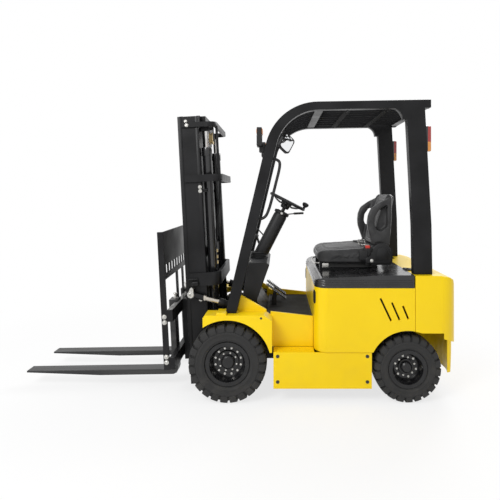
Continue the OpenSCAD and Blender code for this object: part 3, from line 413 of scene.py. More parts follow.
turn.axis = "Z"
spots = tree_node(bolt_tree, "GeometryNodeInstanceOnPoints", Points=given.outputs["Geometry"],
                  Instance=joined(bolt_tree, (washer.outputs[0], head.outputs[0], raised.outputs[0])),
                  Rotation=turn.outputs[0], Scale=point_value(bolt_tree, "size", "FLOAT"))
finish_tree(bolt_tree, given, spots.outputs[0], result)


def clouded(name, dark, light, scale, rough, detail=4.0, metal=0.0, coat=0.0, shine=0.5):
    """A finish whose colour and roughness drift together with one soft noise."""
    finish, tree, shader = new_finish(name, light, rough[0], metal, coat)
    shader.inputs["Specular IOR Level"].default_value = shine
    cloud = object_noise(tree, scale, detail)
    vary_color(tree, shader, cloud, dark, light)
    vary_rough(tree, shader, cloud, *rough)
    return finish, tree, shader


zinc_plate, tree, shader = clouded("zinc_plate", (0.46, 0.45, 0.42), (0.72, 0.71, 0.68), 160, (0.22, 0.42),
                                   detail=3.0, metal=1.0)


def bolts(name, body, rows, material=zinc_plate, head=0.7, washer=1.4, sides=6):
    return grown(name, marked_points(name, rows), bolt_tree, {"Head": head, "Washer": washer, "Sides": sides},
                 material, body)


def both(rows):
    """Rows for both sides of the truck from those of its left side."""
    return rows + [((p[0], -p[1], p[2]), (f[0], -f[1], f[2]), s) for p, f, s in rows]


blackened_steel, tree, shader = clouded("blackened_steel", (0.012, 0.012, 0.013), (0.04, 0.039, 0.038), 160,
                                        (0.32, 0.5), detail=3.0)
LEFT = (0, 1, 0)
UP = (0, 0, 1)
COVER_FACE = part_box("step_covers")[1][1]
FENDER_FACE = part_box("front_fenders")[1][1]
bolts("cover_bolts", "chassis", both(
    [((AXLE_X + x, COVER_FACE, z), LEFT, 0.0085) for x in (-0.34, -0.945) for z in (0.318, 0.146)]
    + [((AXLE_X - 0.228, FENDER_FACE, 0.578), LEFT, 0.0055)]), blackened_steel, 0.5)


# Step tread
# The top of each step cover is pressed with rows of raised buttons that grip a boot.
STEP_TOP = 0.345
BUTTON_PITCH = 0.024
tread_rows = []
for row in range(4):
    for column in range(11):
        tread_rows.append(((AXLE_X - 0.572 + (column + 0.5 * (row % 2)) * BUTTON_PITCH,
                            0.424 + row * BUTTON_PITCH, STEP_TOP), UP, 0.0062))
bolts("step_buttons", "chassis", both(tread_rows), yellow_enamel, 0.35, 1.25, 10)


# Black steel of the frame, guard and mast
# Welded plate, tube and rolled rail, powder-coated in a satin black with a fine pebbled skin.
# The guard is one welded cage bolted to the fenders and the counterweight.
black_coat, tree, shader = new_finish("black_coat", (0.01, 0.01, 0.0105), 0.42)
shader.inputs["Specular IOR Level"].default_value = 0.19
cloud = object_noise(tree, 5.0)
coated = ramp_color(tree, cloud, ((0.35, (0.007, 0.007, 0.0075)), (0.65, (0.013, 0.013, 0.014))))
tree.links.new(mixed_color(tree, spread(tree, road_dust(tree, 0.5), 0.0, 0.4), coated, (0.05, 0.047, 0.042)),
               shader.inputs["Base Color"])
vary_rough(tree, shader, cloud, 0.3, 0.44)
bump(tree, shader, object_noise(tree, 520, 2.0), 0.0005, 0.4)

for name, edge in (("frame", 0.002), ("front_axle", 0.004), ("steer_axle", 0.004), ("overhead_guard", 0.007),
                   ("outer_mast", 0.003), ("inner_mast", 0.003), ("carriage", 0.003),
                   ("load_backrest", 0.002), ("knuckle_left", 0.002), ("knuckle_right", 0.002),
                   ("seat_base", 0.003), ("hood_hinges", 0.001), ("tilt_barrel_left", 0.002),
                   ("tilt_barrel_right", 0.002)):
    finish_node(name, black_coat, edge)


# Roof
# Flat steel bars welded between the guard's beams, in a duller black, keep falling loads off the driver.
# The front ones follow the guard's bend, and two straps are bolted under the beams.
roof_coat, tree, shader = clouded("roof_coat", (0.007, 0.007, 0.0075), (0.012, 0.012, 0.013), 5.0,
                                  (0.68, 0.82), shine=0.13)
bump(tree, shader, object_noise(tree, 520, 2.0), 0.0005, 0.4)
finish_node("roof_bars_panel", roof_coat, 0.003)

row_tree, given, result = grow_tree("rows", {"Count": "Int", "Pitch": "Vector", "Material": "Material"})
line = tree_node(row_tree, "GeometryNodeMeshLine", Count=given.outputs["Count"],
                 Offset=given.outputs["Pitch"])
spots = tree_node(row_tree, "GeometryNodeInstanceOnPoints", Points=line.outputs[0],
                  Instance=given.outputs["Geometry"])
finish_tree(row_tree, given, spots.outputs[0], result)


def loft(shape, rings):
    """Skins rings of equal count one after another, and closes both ends."""
    for low, high in zip(rings, rings[1:]):
        count = len(low)
        for k in range(count):
            shape.faces.new((low[k], low[(k + 1) % count], high[(k + 1) % count], high[k]))
    shape.faces.new(rings[0][::-1])
    shape.faces.new(rings[-1])


BAR_COUNT = 7
BAR_PITCH = 0.105
BAR_HALF = (0.009, 0.019)
BEND_CENTRE = (AXLE_X - 0.62655, 1.67912)
BEND_RADIUS = 0.34
bar_line = [((AXLE_X - 0.668, 2.0199), (0.0175, 1.0))]
for degrees in range(89, 44, -4):
    out = (math.cos(math.radians(degrees)), math.sin(math.radians(degrees)))
    bar_line.append(((BEND_CENTRE[0] + BEND_RADIUS * out[0], BEND_CENTRE[1] + BEND_RADIUS * out[1]), out))
shape = bmesh.new()
rings = []
for (x, z), out in bar_line:
    rings.append([shape.verts.new((x + out[0] * BAR_HALF[1] * b,
                                   -BAR_PITCH * (BAR_COUNT - 1) / 2 + BAR_HALF[0] * a,
                                   z + out[1] * BAR_HALF[1] * b))
                                   for a, b in ((-1, -1), (1, -1), (1, 1), (-1, 1))])
loft(shape, rings)
bmesh.ops.recalc_face_normals(shape, faces=shape.faces)
long_edges = [e for e in shape.edges if abs(e.verts[0].co.x - e.verts[1].co.x) > 0.001
              and e.calc_face_angle(0) > 1]
bmesh.ops.bevel(shape, geom=long_edges, offset=0.003, segments=2, profile=0.5, affect="EDGES")
bar_mesh = bpy.data.meshes.new("roof_front_bar")
shape.to_mesh(bar_mesh)
shape.free()
grown("roof_front_bars", bar_mesh, row_tree, {"Count": BAR_COUNT, "Pitch": (0, BAR_PITCH, 0)}, roof_coat,
      "chassis")

ROOF_STRAPS = (-0.83, -1.11)
strap_rows = []
for x in ROOF_STRAPS:
    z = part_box("roof_bars_panel")[0][2] + 0.001 - (x - ROOF_STRAPS[0]) * math.tan(math.radians(1))
    strap_rows += [((AXLE_X + x, y, z + 0.0015), (0, 0, -1), 0.007) for y in (0.408, 0.37)]
bolts("roof_strap_bolts", "chassis", both(strap_rows), black_coat)


# Forks
# Two forged steel forks hook over the carriage bars; a spring pin in each hook drops into the bar's notch.
# Their black paint is scuffed along the blades, where pallets slide.
fork_steel, tree, shader = new_finish("fork_steel", (0.02, 0.02, 0.021), 0.4)
drag = object_noise(tree, 30, 5.0, (0.08, 1, 1))
vary_color(tree, shader, drag, (0.013, 0.013, 0.014), (0.045, 0.044, 0.043), 0.4, 0.75)
vary_rough(tree, shader, drag, 0.3, 0.5)
bump(tree, shader, object_noise(tree, 90, 4.0, (0.2, 1, 1)), 0.0006, 0.3)
for name in ("fork_left", "fork_right"):
    finish_node(name, fork_steel, 0.003)

FRONT_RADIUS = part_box("front_tyre_left")[1][2] / 2
MAST_LEAN = math.radians(3)


def on_mast(ahead, y, height):
    """A point given on the upright mast, from the front axle, at the parked lean."""
    rise = height - FRONT_RADIUS
    return Vector((AXLE_X + ahead * math.cos(MAST_LEAN) + rise * math.sin(MAST_LEAN), y,
                   FRONT_RADIUS - ahead * math.sin(MAST_LEAN) + rise * math.cos(MAST_LEAN)))


def mast_way(ahead, y, up):
    return on_mast(ahead, y, up) - on_mast(0, 0, 0)


MAST_UP = mast_way(0, 0, 1)


def turned(shape, origin, axis, profile, sides=32):
    """Adds a profile of radius and height, turned round an axis."""
    turn = Vector(axis).normalized().to_track_quat("Z", "Y")
    rings = []
    for radius, height in profile:
        count = sides if radius > 1e-6 else 1
        rings.append([shape.verts.new(Vector(origin) + turn @ Vector(
            (radius * math.cos(math.tau * k / sides), radius * math.sin(math.tau * k / sides), height)))
            for k in range(count)])
    for low, high in zip(rings, rings[1:]):
        for k in range(sides):
            corners = [low[k % len(low)], low[(k + 1) % len(low)], high[(k + 1) % len(high)],
                       high[k % len(high)]]
            corners = list(dict.fromkeys(corners))
            if len(corners) > 2:
                shape.faces.new(corners)


FORK_TOP = 0.659
shape = bmesh.new()
for y in (0.2, -0.2):
    turned(shape, on_mast(0.402, y, FORK_TOP - 0.001), MAST_UP,
           ((0, 0), (0.016, 0), (0.016, 0.006), (0.009, 0.009), (0.008, 0.026), (0.014, 0.03), (0.015, 0.038),
            (0.012, 0.042), (0, 0.043)), 20)
new_piece("fork_pins", shape, zinc_plate, "carriage")


# Mast fittings
# Bolts on the rails and backrest, flag-headed tilt pins with their keepers, a nylon hose pulley
# on the inner mast, and steel oil pipes clipped behind the left rail.
RAIL_FACE = 0.318
BACKREST_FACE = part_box("load_backrest")[1][1]
bolts("backrest_bolts", "carriage", both(
    [(on_mast(0.42, BACKREST_FACE, z), LEFT, 0.0115) for z in (0.594, 0.556, 0.32, 0.283)]))
bolts("rail_bolts", "outer_mast", both(
    [(on_mast(0.236, RAIL_FACE, 1.95), LEFT, 0.008), (on_mast(0.228, RAIL_FACE + 0.014, 1.92), LEFT, 0.009)]
    + [(on_mast(0.156, RAIL_FACE + 0.004, z), LEFT, 0.0095) for z in (1.444, 1.473)]
    + [(on_mast(0.192, RAIL_FACE, 0.668), LEFT, 0.011)]))


def leaned_box(shape, low, high, radius, steps=2):
    """A rounded box drawn on the upright mast, at the parked lean."""
    there = set(shape.verts)
    rounded_box(shape, low, high, radius, steps)
    for vert in shape.verts:
        if vert not in there:
            vert.co = on_mast(*vert.co)


MAST_TOP = 1.984
FLANGE_PROUD = 0.004
shape = bmesh.new()
for side in (1, -1):
    y0, y1 = sorted((side * (RAIL_FACE - 0.004), side * (RAIL_FACE + FLANGE_PROUD)))
    leaned_box(shape, (0.266, y0, 0.064), (0.2936, y1, MAST_TOP), 0.0016)
    leaned_box(shape, (0.1444, y0, 0.064), (0.168, y1, MAST_TOP), 0.0016)
new_piece("rail_flanges", shape, black_coat, "outer_mast")

worn_steel, tree, shader = new_finish("worn_steel", (0.3, 0.3, 0.295), 0.42, metal=1.0)
scuff = object_noise(tree, 55, 5.0, (1, 0.15, 1))
vary_color(tree, shader, scuff, (0.1, 0.1, 0.098), (0.42, 0.42, 0.41))
vary_rough(tree, shader, scuff, 0.32, 0.55)
shape = bmesh.new()
leaned_box(shape, (0.3625, -0.462, 0.634), (0.3995, 0.462, 0.6402), 0.0012)
new_piece("bar_wear_edge", shape, worn_steel, "carriage")

lift_gloss, tree, shader = new_finish("lift_gloss", (0.014, 0.014, 0.015), 0.2, coat=0.3)
vary_rough(tree, shader, object_noise(tree, 18.0), 0.16, 0.28)
finish_node("lift_barrels", lift_gloss, 0.0015)

PIN_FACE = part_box("tilt_pins")[1][1]
KEEPER_RISE = 0.038
KEEPER_WIDE = 0.0225
KEEPER_NARROW = 0.013
KEEPER_THICK = 0.006


def plate(shape, outline, y0, y1, edge, steps=2):
    """A flat plate with softened rims, from its outline in the side view."""
    faces = []
    for y in sorted((y0, y1)):
        faces.append([shape.verts.new((x, y, z)) for x, z in outline])
    made = [shape.faces.new(faces[0]), shape.faces.new(faces[1])]
    count = len(outline)
    for k in range(count):
        shape.faces.new((faces[0][k], faces[0][(k + 1) % count], faces[1][(k + 1) % count], faces[1][k]))
    rims = [rim for face in made for rim in face.edges]
    bmesh.ops.bevel(shape, geom=rims, offset=edge, segments=steps, profile=0.5, affect="EDGES")


pin_centre = on_mast(0.254, 0, 0.713)
keeper_way = mast_way(-0.25, 0, 1).normalized()
keeper_across = keeper_way.cross(Vector(LEFT))
keeper_post = pin_centre + keeper_way * KEEPER_RISE
keeper_outline = []
for step in range(28):
    angle = math.tau * step / 28
    upper = math.sin(angle) > 0
    radius = KEEPER_NARROW if upper else KEEPER_WIDE
    spot = (keeper_post if upper else pin_centre) + keeper_way * radius * math.sin(angle)
    spot = spot + keeper_across * radius * math.cos(angle)
    keeper_outline.append((spot.x, spot.z))
shape = bmesh.new()
for side in (1, -1):
    plate(shape, keeper_outline, side * (PIN_FACE - 0.0005), side * (PIN_FACE + KEEPER_THICK), 0.0015)
    turned(shape, (pin_centre.x, side * (PIN_FACE + KEEPER_THICK - 0.001), pin_centre.z), (0, side, 0),
           ((0.007, 0), (0.0125, 0), (0.0125, 0.003), (0.011, 0.004), (0.007, 0.004), (0.0055, 0.001),
            (0, 0.001)), 24)
    turned(shape, (keeper_post.x, side * (RAIL_FACE - 0.002), keeper_post.z), (0, side, 0),
           ((0, 0), (0.0125, 0), (0.0125, PIN_FACE - RAIL_FACE + 0.001), (0, PIN_FACE - RAIL_FACE + 0.001)),
           20)
new_piece("tilt_pin_keepers", shape, zinc_plate, "outer_mast")
bolts("keeper_bolts", "outer_mast", both([((keeper_post.x, PIN_FACE + KEEPER_THICK, keeper_post.z), LEFT,
                                           0.0072)]), washer=1.2)
shape = bmesh.new()
for side in (1, -1):
    y0, y1 = sorted((side * (RAIL_FACE - 0.002), side * (RAIL_FACE + 0.036)))
    leaned_box(shape, (0.196, y0, 0.762), (0.25, y1, 0.802), 0.012, 4)
    leaned_box(shape, (0.2, y0, 0.806), (0.272, y1 - 0.01, 0.822), 0.005, 3)
new_piece("rail_stops", shape, black_coat, "outer_mast")

cream_nylon, tree, shader = clouded("cream_nylon", (0.5, 0.36, 0.15), (0.72, 0.56, 0.28), 60, (0.35, 0.5))
PULLEY = (0.078, 0.165, 1.835)
PULLEY_SIZE = 0.047
shape = bmesh.new()
turned(shape, on_mast(*PULLEY), mast_way(1, 0, 0),
       ((0.011, -0.014), (0.044, -0.014), (PULLEY_SIZE, -0.011), (0.039, -0.003), (0.039, 0.003),
        (PULLEY_SIZE, 0.011), (0.044, 0.014), (0.011, 0.014), (0.011, -0.014)), 44)
new_piece("hose_pulley", shape, cream_nylon, "inner_mast")
shape = bmesh.new()
leaned_box(shape, (0.058, 0.151, 1.815), (0.0636, 0.179, 1.93), 0.002)
leaned_box(shape, (0.058, 0.151, 1.9), (0.112, 0.179, 1.93), 0.002)
turned(shape, on_mast(0.06, 0.165, 1.835), mast_way(1, 0, 0),
       ((0, 0), (0.0105, 0), (0.0105, 0.036), (0.009, 0.038), (0, 0.038)), 20)
new_piece("pulley_bracket", shape, black_coat, "inner_mast")


def smooth_path(points, steps=8):
    """Points of a smooth curve through the given points."""
    points = [Vector(p) for p in points]
    ends = [points[0] * 2 - points[1]] + points + [points[-1] * 2 - points[-2]]
    path = []
    for a, b, c, d in zip(ends, ends[1:], ends[2:], ends[3:]):
        for k in range(steps):
            t = k / steps
            path.append(0.5 * (2 * b + (c - a) * t + (2 * a - 5 * b + 4 * c - d) * t * t
                               + (3 * b - a - 3 * c + d) * t * t * t))
    return path + [points[-1]]


def tube(shape, path, radius, sides=12):
    """Adds a round bar along a path, with softly rounded ends."""
    path = [Vector(p) for p in path]
    radii = [radius] * len(path)
    first, last = (path[0] - path[1]).normalized(), (path[-1] - path[-2]).normalized()
    path = [path[0] + first * radius * 0.35] + path + [path[-1] + last * radius * 0.35]
    radii = [radius * 0.7] + radii + [radius * 0.7]
    side = first.orthogonal().normalized()
    rings = []
    for k, point in enumerate(path):
        ahead = (path[min(k + 1, len(path) - 1)] - path[max(k - 1, 0)]).normalized()
        side = (side - ahead * side.dot(ahead)).normalized()
        other = ahead.cross(side)
        rings.append([shape.verts.new(point + (side * math.cos(math.tau * i / sides)
                                               + other * math.sin(math.tau * i / sides)) * radii[k])
                      for i in range(sides)])
    loft(shape, rings)


HOSE_LINE = ((0.024, 0.205, 1.515), (0.03, 0.205, 1.42), (0.062, 0.205, 1.2), (0.076, 0.205, 1.06),
             (0.08, 0.205, 0.94), (0.068, 0.205, 0.84))
shape = bmesh.new()
tube(shape, [on_mast(0.021, 0.275, z) for z in (1.55, 1.7, 1.91)], 0.0095, 14)
tube(shape, smooth_path([on_mast(*p) for p in HOSE_LINE]), 0.0085, 14)
new_piece("mast_pipes", shape, black_coat, "outer_mast")

brass_fitting, tree, shader = new_finish("brass_fitting", (0.55, 0.42, 0.2), 0.3, metal=1.0)
vary_rough(tree, shader, object_noise(tree, 120), 0.22, 0.42)
shape = bmesh.new()
for ahead, height in ((0.0795, 0.9), (0.0803, 0.94), (0.079, 0.985)):
    turned(shape, on_mast(ahead, 0.205, height), MAST_UP,
           ((0, 0), (0.013, 0), (0.0145, 0.003), (0.0145, 0.021), (0.013, 0.024), (0, 0.024)), 6)
new_piece("pipe_fittings", shape, brass_fitting, "outer_mast")

shape = bmesh.new()
for side in (1, -1):
    for height in (1.44, 1.452):
        clip = on_mast(0.135, side * 0.292, height)
        rounded_box(shape, clip - Vector((0.026, 0.014, 0.005)), clip + Vector((0.012, 0.014, 0.005)), 0.003)
new_piece("hose_clips", shape, black_coat, "outer_mast")


# Roof header
# A round steel bar, welded across the ends of the roof's front bars and into the guard's two bends.
HEADER_HALF = 0.428
HEADER_RADIUS = 0.0105
header_end = bar_line[-1][0]
shape = bmesh.new()
tube(shape, [(header_end[0], y, header_end[1]) for y in (-HEADER_HALF, 0, HEADER_HALF)], HEADER_RADIUS, 16)
new_piece("roof_header", shape, roof_coat, "chassis")


# Leaf chains
# Rows of flat steel links on riveted pins run from the mast's foot over the sheaves to the carriage.
# The links are punched plate, oiled and dark.
chain_steel, tree, shader = clouded("chain_steel", (0.07, 0.066, 0.06), (0.2, 0.195, 0.185), 90.0,
                                    (0.28, 0.5), metal=1.0)

link_tree, given, result = grow_tree("leaf_links", {"Length": "Float", "Depth": "Float", "Plate": "Float",
                                                    "Material": "Material"})
outline = tree_node(link_tree, "GeometryNodeCurvePrimitiveQuadrilateral", Width=given.outputs["Length"],
                    Height=given.outputs["Depth"])
half = tree_node(link_tree, "ShaderNodeMath")
half.operation = "MULTIPLY"
link_tree.links.new(given.outputs["Depth"], half.inputs[0])
half.inputs[1].default_value = 0.46
rounding = tree_node(link_tree, "GeometryNodeFilletCurve", Curve=outline.outputs[0], Radius=half.outputs[0])
rounding.mode = "POLY"
rounding.inputs["Count"].default_value = 3
sheet = tree_node(link_tree, "GeometryNodeFillCurve", Curve=rounding.outputs[0])
sheet.mode = "NGONS"
flipped = tree_node(link_tree, "GeometryNodeFlipFaces", Mesh=sheet.outputs[0])
punched = tree_node(link_tree, "GeometryNodeExtrudeMesh", Mesh=sheet.outputs[0],
                    Offset_Scale=given.outputs["Plate"])
whole = tree_node(link_tree, "GeometryNodeMergeByDistance",
                  Geometry=joined(link_tree, (punched.outputs[0], flipped.outputs[0])), Distance=1e-5)
upright = tree_node(link_tree, "GeometryNodeTransform", Geometry=whole.outputs[0],
                    Rotation=(math.radians(90), 0, 0))
turn = tree_node(link_tree, "FunctionNodeAxesToRotation",
                 Primary_Axis=point_value(link_tree, "facing", "FLOAT_VECTOR"), Secondary_Axis=LEFT)
turn.primary_axis, turn.secondary_axis = "X", "Y"
spots = tree_node(link_tree, "GeometryNodeInstanceOnPoints", Points=given.outputs["Geometry"],
                  Instance=upright.outputs[0], Rotation=turn.outputs[0],
                  Scale=point_value(link_tree, "size", "FLOAT"))
finish_tree(link_tree, given, spots.outputs[0], result)

LINK_PITCH = 0.0159
LINK_DEPTH = 0.0136
LINK_PLATE = 0.0045
SHEAVE_AHEAD = 0.262
SHEAVE_HEIGHT = 1.925
CHAIN_RUN = 0.0533
CHAIN_Y = 0.105
LINK_ROWS = ((-0.013, 0.0, 0.013), (-0.0065, 0.0065))
CHAIN_FOOT = 0.0885
CHAIN_LUG = 0.463


def chain_run(name, replaced, path):
    """Lays links and pins along a path of place and direction, on both sides, baked in place and standing in
    for a CAD chain.
    """
    plates, pins = [], []
    for y in (CHAIN_Y, -CHAIN_Y):
        for k, (ahead, height, way) in enumerate(path):
            facing = mast_way(way[0], 0, way[1])
            for offset in LINK_ROWS[k % 2]:
                plates.append((on_mast(ahead, y + offset + LINK_PLATE / 2, height), facing, 1.0))
            pin = on_mast(ahead, y, height) + facing.normalized() * LINK_PITCH / 2
            pins.append((pin - Vector((0, 0.0158, 0)), LEFT, 0.0034))
    links = grown(name, marked_points(name, plates), link_tree,
                  {"Length": LINK_PITCH * 1.84, "Depth": LINK_DEPTH, "Plate": LINK_PLATE}, chain_steel,
                  None)
    rivets = grown(name + "_pins", marked_points(name + "_pins", pins), bolt_tree,
                   {"Head": 9.1, "Washer": 0.9, "Sides": 8}, chain_steel, None)
    for piece in (links, rivets):
        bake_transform(piece)
    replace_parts(links, replaced)


down_run = [(SHEAVE_AHEAD - CHAIN_RUN, CHAIN_FOOT + (k + 0.5) * LINK_PITCH, (0, 1))
            for k in range(int((SHEAVE_HEIGHT - CHAIN_FOOT) / LINK_PITCH))]
chain_run("anchor_links", "anchor_chains", down_run)
up_run = [(SHEAVE_AHEAD + CHAIN_RUN, CHAIN_LUG + (k + 0.5) * LINK_PITCH, (0, 1))
          for k in range(int((SHEAVE_HEIGHT - CHAIN_LUG) / LINK_PITCH))]
arc_steps = int(math.pi * CHAIN_RUN / LINK_PITCH)
for k in range(arc_steps):
    angle = math.pi * (k + 0.5) / arc_steps
    up_run.append((SHEAVE_AHEAD + CHAIN_RUN * math.cos(angle), SHEAVE_HEIGHT + CHAIN_RUN * math.sin(angle),
                   (-math.sin(angle), math.cos(angle))))
chain_run("carriage_links", "carriage_chains", up_run)


# Cylinder rods and pins
# Ground and hard-chromed steel, wet with oil.
rod_chrome, tree, shader = clouded("rod_chrome", (0.5, 0.49, 0.47), (0.7, 0.69, 0.68), 40.0, (0.1, 0.24),
                                   metal=1.0)
for name, edge in (("lift_rods", 0.0), ("tilt_pins", 0.0015)):
    finish_node(name, rod_chrome, edge)

CLEVIS_END = AXLE_X + 0.185
tilt_rod_finish, tree, shader = new_finish("tilt_rod_finish", (0.4, 0.39, 0.37), 0.2, metal=1.0)
split = tree.nodes.new("ShaderNodeSeparateXYZ")
tree.links.new(object_place(tree), split.inputs[0])
along = spread(tree, split.outputs["X"], 0.0, 1.0, CLEVIS_END - 0.1, CLEVIS_END + 0.1)
tree.links.new(ramp_color(tree, along, ((0.0, (0.52, 0.48, 0.42)), (0.5, (0.028, 0.028, 0.029))), True),
               shader.inputs["Base Color"])
vary_rough(tree, shader, object_noise(tree, 40.0), 0.14, 0.32)
for name in ("tilt_rod_left", "tilt_rod_right"):
    finish_node(name, tilt_rod_finish)


# Wheels
# Pressed steel discs in gloss black, bolted by a ring of studs through the disc and a ring round the hub cap.
# Solid tyres of black rubber with staggered shoulder lugs are pressed on; two beads run round each flank.
rim_enamel, tree, shader = clouded("rim_enamel", (0.006, 0.006, 0.0065), (0.012, 0.012, 0.013), 22.0,
                                   (0.2, 0.32), shine=0.42)
bump(tree, shader, object_noise(tree, 160, 2.0), 0.0003, 0.2)

tyre_rubber, tree, shader = new_finish("tyre_rubber", (0.026, 0.026, 0.027), 0.8)
dust = object_noise(tree, 16.0, 6.0)
rubber = ramp_color(tree, dust, ((0.3, (0.011, 0.011, 0.011)), (0.7, (0.023, 0.0225, 0.022))))
tree.links.new(mixed_color(tree, spread(tree, road_dust(tree, 0.4), 0.0, 0.35), rubber, (0.085, 0.08, 0.072)),
               shader.inputs["Base Color"])
vary_rough(tree, shader, dust, 0.68, 0.9)
bump(tree, shader, object_noise(tree, 350, 3.0), 0.0008, 0.45)

STUD_TURN = math.tau / 24


def ring_rows(centre, face, radius, count, size, side, turn=STUD_TURN):
    return [((centre[0] + radius * math.cos(math.tau * k / count + turn), side * face,
              centre[1] + radius * math.sin(math.tau * k / count + turn)), (0, side, 0), size)
              for k in range(count)]


LUG_STEPS = (0, 0.11, 0.22, 0.26, 0.36, 0.46, 0.5, 0.61, 0.72, 0.76, 0.86, 0.96)
LUG_START = 0.72
LUG_WALL = 0.04
GROOVE_DEPTH = 0.014
FLANK_PULL = 0.009
RIM_GRIP = 0.0237
FLANK_ROWS = ((0.0, 0.0, 0, 0), (0.14, 0.0, 0, 0), (0.2, 0.0, 0, 0), (0.235, 0.0, 1, 0), (0.6, 0.008, 1, 0),
              (0.8, 0.03, 1, 0.4), (0.89, 0.085, 1, 0.8), (0.945, 0.19, 0.8, 1), (0.97, 0.39, 0, 1),
              (0.94, 0.43, 0, 0), (0.955, 0.455, 0, 0), (0.985, 0.5, 0, 0), (0.985, 0.54, 0, 0),
              (0.965, 0.575, 0, 0), (0.975, 0.66, 0, 0), (0.965, 0.74, 0, 0), (0.985, 0.775, 0, 0),
              (0.985, 0.81, 0, 0), (0.955, 0.845, 0, 0), (0.93, 0.93, 0, 0), (0.8, 0.985, 0, 0))


def lug_gap(part):
    """One in the gap between two lugs, zero on a lug, with short sloping walls."""
    part %= 1
    return max(0, min((part - LUG_START) / LUG_WALL, 1, (1 - part) / LUG_WALL))


def moulded_tyre(name, hub, middle, radius, rim, half, lugs, body, node):
    """A solid tyre with staggered lugs in the shoulders of its crown and two beads on each flank."""
    wall = radius - rim
    rows = [(-1, row) for row in FLANK_ROWS[:0:-1]] + [(1, row) for row in FLANK_ROWS]
    seat = (0.795, (wall + RIM_GRIP) / wall, 0, 0)
    rows = [(-1, seat)] + rows + [(1, seat)]
    shape = bmesh.new()
    rings = []
    for lug in range(lugs):
        for step in LUG_STEPS:
            angle = math.tau * (lug + step) / lugs
            ring = []
            for side, (share, depth, drop, pull) in rows:
                gap = lug_gap(step if side > 0 else step + 0.5)
                reach = radius - wall * depth - GROOVE_DEPTH * drop * gap
                y = middle + side * (share * half - FLANK_PULL * pull * gap)
                ring.append(shape.verts.new((hub[0] + reach * math.cos(angle), y,
                                             hub[1] + reach * math.sin(angle))))
            rings.append(ring)
    for low, high in zip(rings, rings[1:] + rings[:1]):
        for k in range(len(rows)):
            shape.faces.new((low[k - 1], low[k], high[k], high[k - 1]))
    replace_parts(new_piece(name, shape, tyre_rubber, body), node)


front_hub = (AXLE_X, FRONT_RADIUS)
rear_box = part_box("rear_tyre_left")
rear_hub = ((rear_box[0][0] + rear_box[1][0]) / 2, rear_box[1][2] / 2)
for side, tag in ((1, "left"), (-1, "right")):
    for end in ("front", "rear"):
        finish_node(f"{end}_rim_{tag}", rim_enamel, 0.002, 3)
    bolts(f"front_studs_{tag}", f"wheel_front_{tag}", ring_rows(front_hub, 0.464, 0.09, 12, 0.0077, side)
          + ring_rows(front_hub, 0.476, 0.06, 8, 0.006, side), washer=1.05)
    bolts(f"rear_studs_{tag}", f"wheel_rear_{tag}", ring_rows(rear_hub, 0.457, 0.074, 6, 0.0076, side)
          + ring_rows(rear_hub, 0.457, 0.063, 6, 0.0066, side, STUD_TURN + math.tau / 12), washer=1.05)
    moulded_tyre(f"front_tyre_moulding_{tag}", front_hub, side * 0.44, FRONT_RADIUS, 0.148, 0.1, 24,
                 f"wheel_front_{tag}", f"front_tyre_{tag}")
    moulded_tyre(f"rear_tyre_moulding_{tag}", rear_hub, side * 0.445, rear_hub[1], 0.13, 0.085, 22,
                 f"wheel_rear_{tag}", f"rear_tyre_{tag}")


# Moulded black plastic of the controls
# Cowl, column shroud, pedals, lamp shells and mirror shell are injection mouldings with a fine spark grain.
grained_plastic, tree, shader = clouded("grained_plastic", (0.01, 0.01, 0.0105), (0.018, 0.018, 0.019), 9.0,
                                        (0.4, 0.55), shine=0.3)
bump(tree, shader, object_noise(tree, 900, 2.0), 0.0004, 0.5)
for name, edge in (("dash_cowl", 0.012), ("steering_column", 0.003), ("pedals", 0.003),
                   ("control_levers", 0.001), ("front_lamps", 0.006), ("mirror", 0.005), ("battery", 0.004)):
    finish_node(name, grained_plastic, edge, 3)


# Grab handle
# A bent steel tube in a plastic sleeve, fixed to the left front pillar at both ends for the step up.
HANDLE_LINE = ((-0.2725, 1.66), (-0.33, 1.651), (-0.3545, 1.613), (-0.324, 1.475), (-0.28, 1.31),
               (-0.243, 1.249), (-0.172, 1.238))
shape = bmesh.new()
tube(shape, smooth_path([(AXLE_X + x, 0.45, z) for x, z in HANDLE_LINE]), 0.01, 16)
handle = new_piece("grab_handle_bar", shape, grained_plastic, "chassis")
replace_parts(handle, "grab_handle")


# Steering wheel and column fittings
# A moulded wheel on three dished spokes carries a spinner knob.
# The stalk, the tilt lever and the boot sit on the column.
WHEEL_CENTRE = Vector((AXLE_X - 0.417, 0, 1.353))
COLUMN_TILT = math.radians(27)
COLUMN_UP = Vector((-math.sin(COLUMN_TILT), 0, math.cos(COLUMN_TILT)))
COLUMN_AHEAD = Vector((math.cos(COLUMN_TILT), 0, math.sin(COLUMN_TILT)))
WHEEL_RADIUS = 0.14
GRIP_RADIUS = 0.0125


def on_column(ahead, y, up):
    return WHEEL_CENTRE + COLUMN_AHEAD * ahead + Vector((0, y, 0)) + COLUMN_UP * up


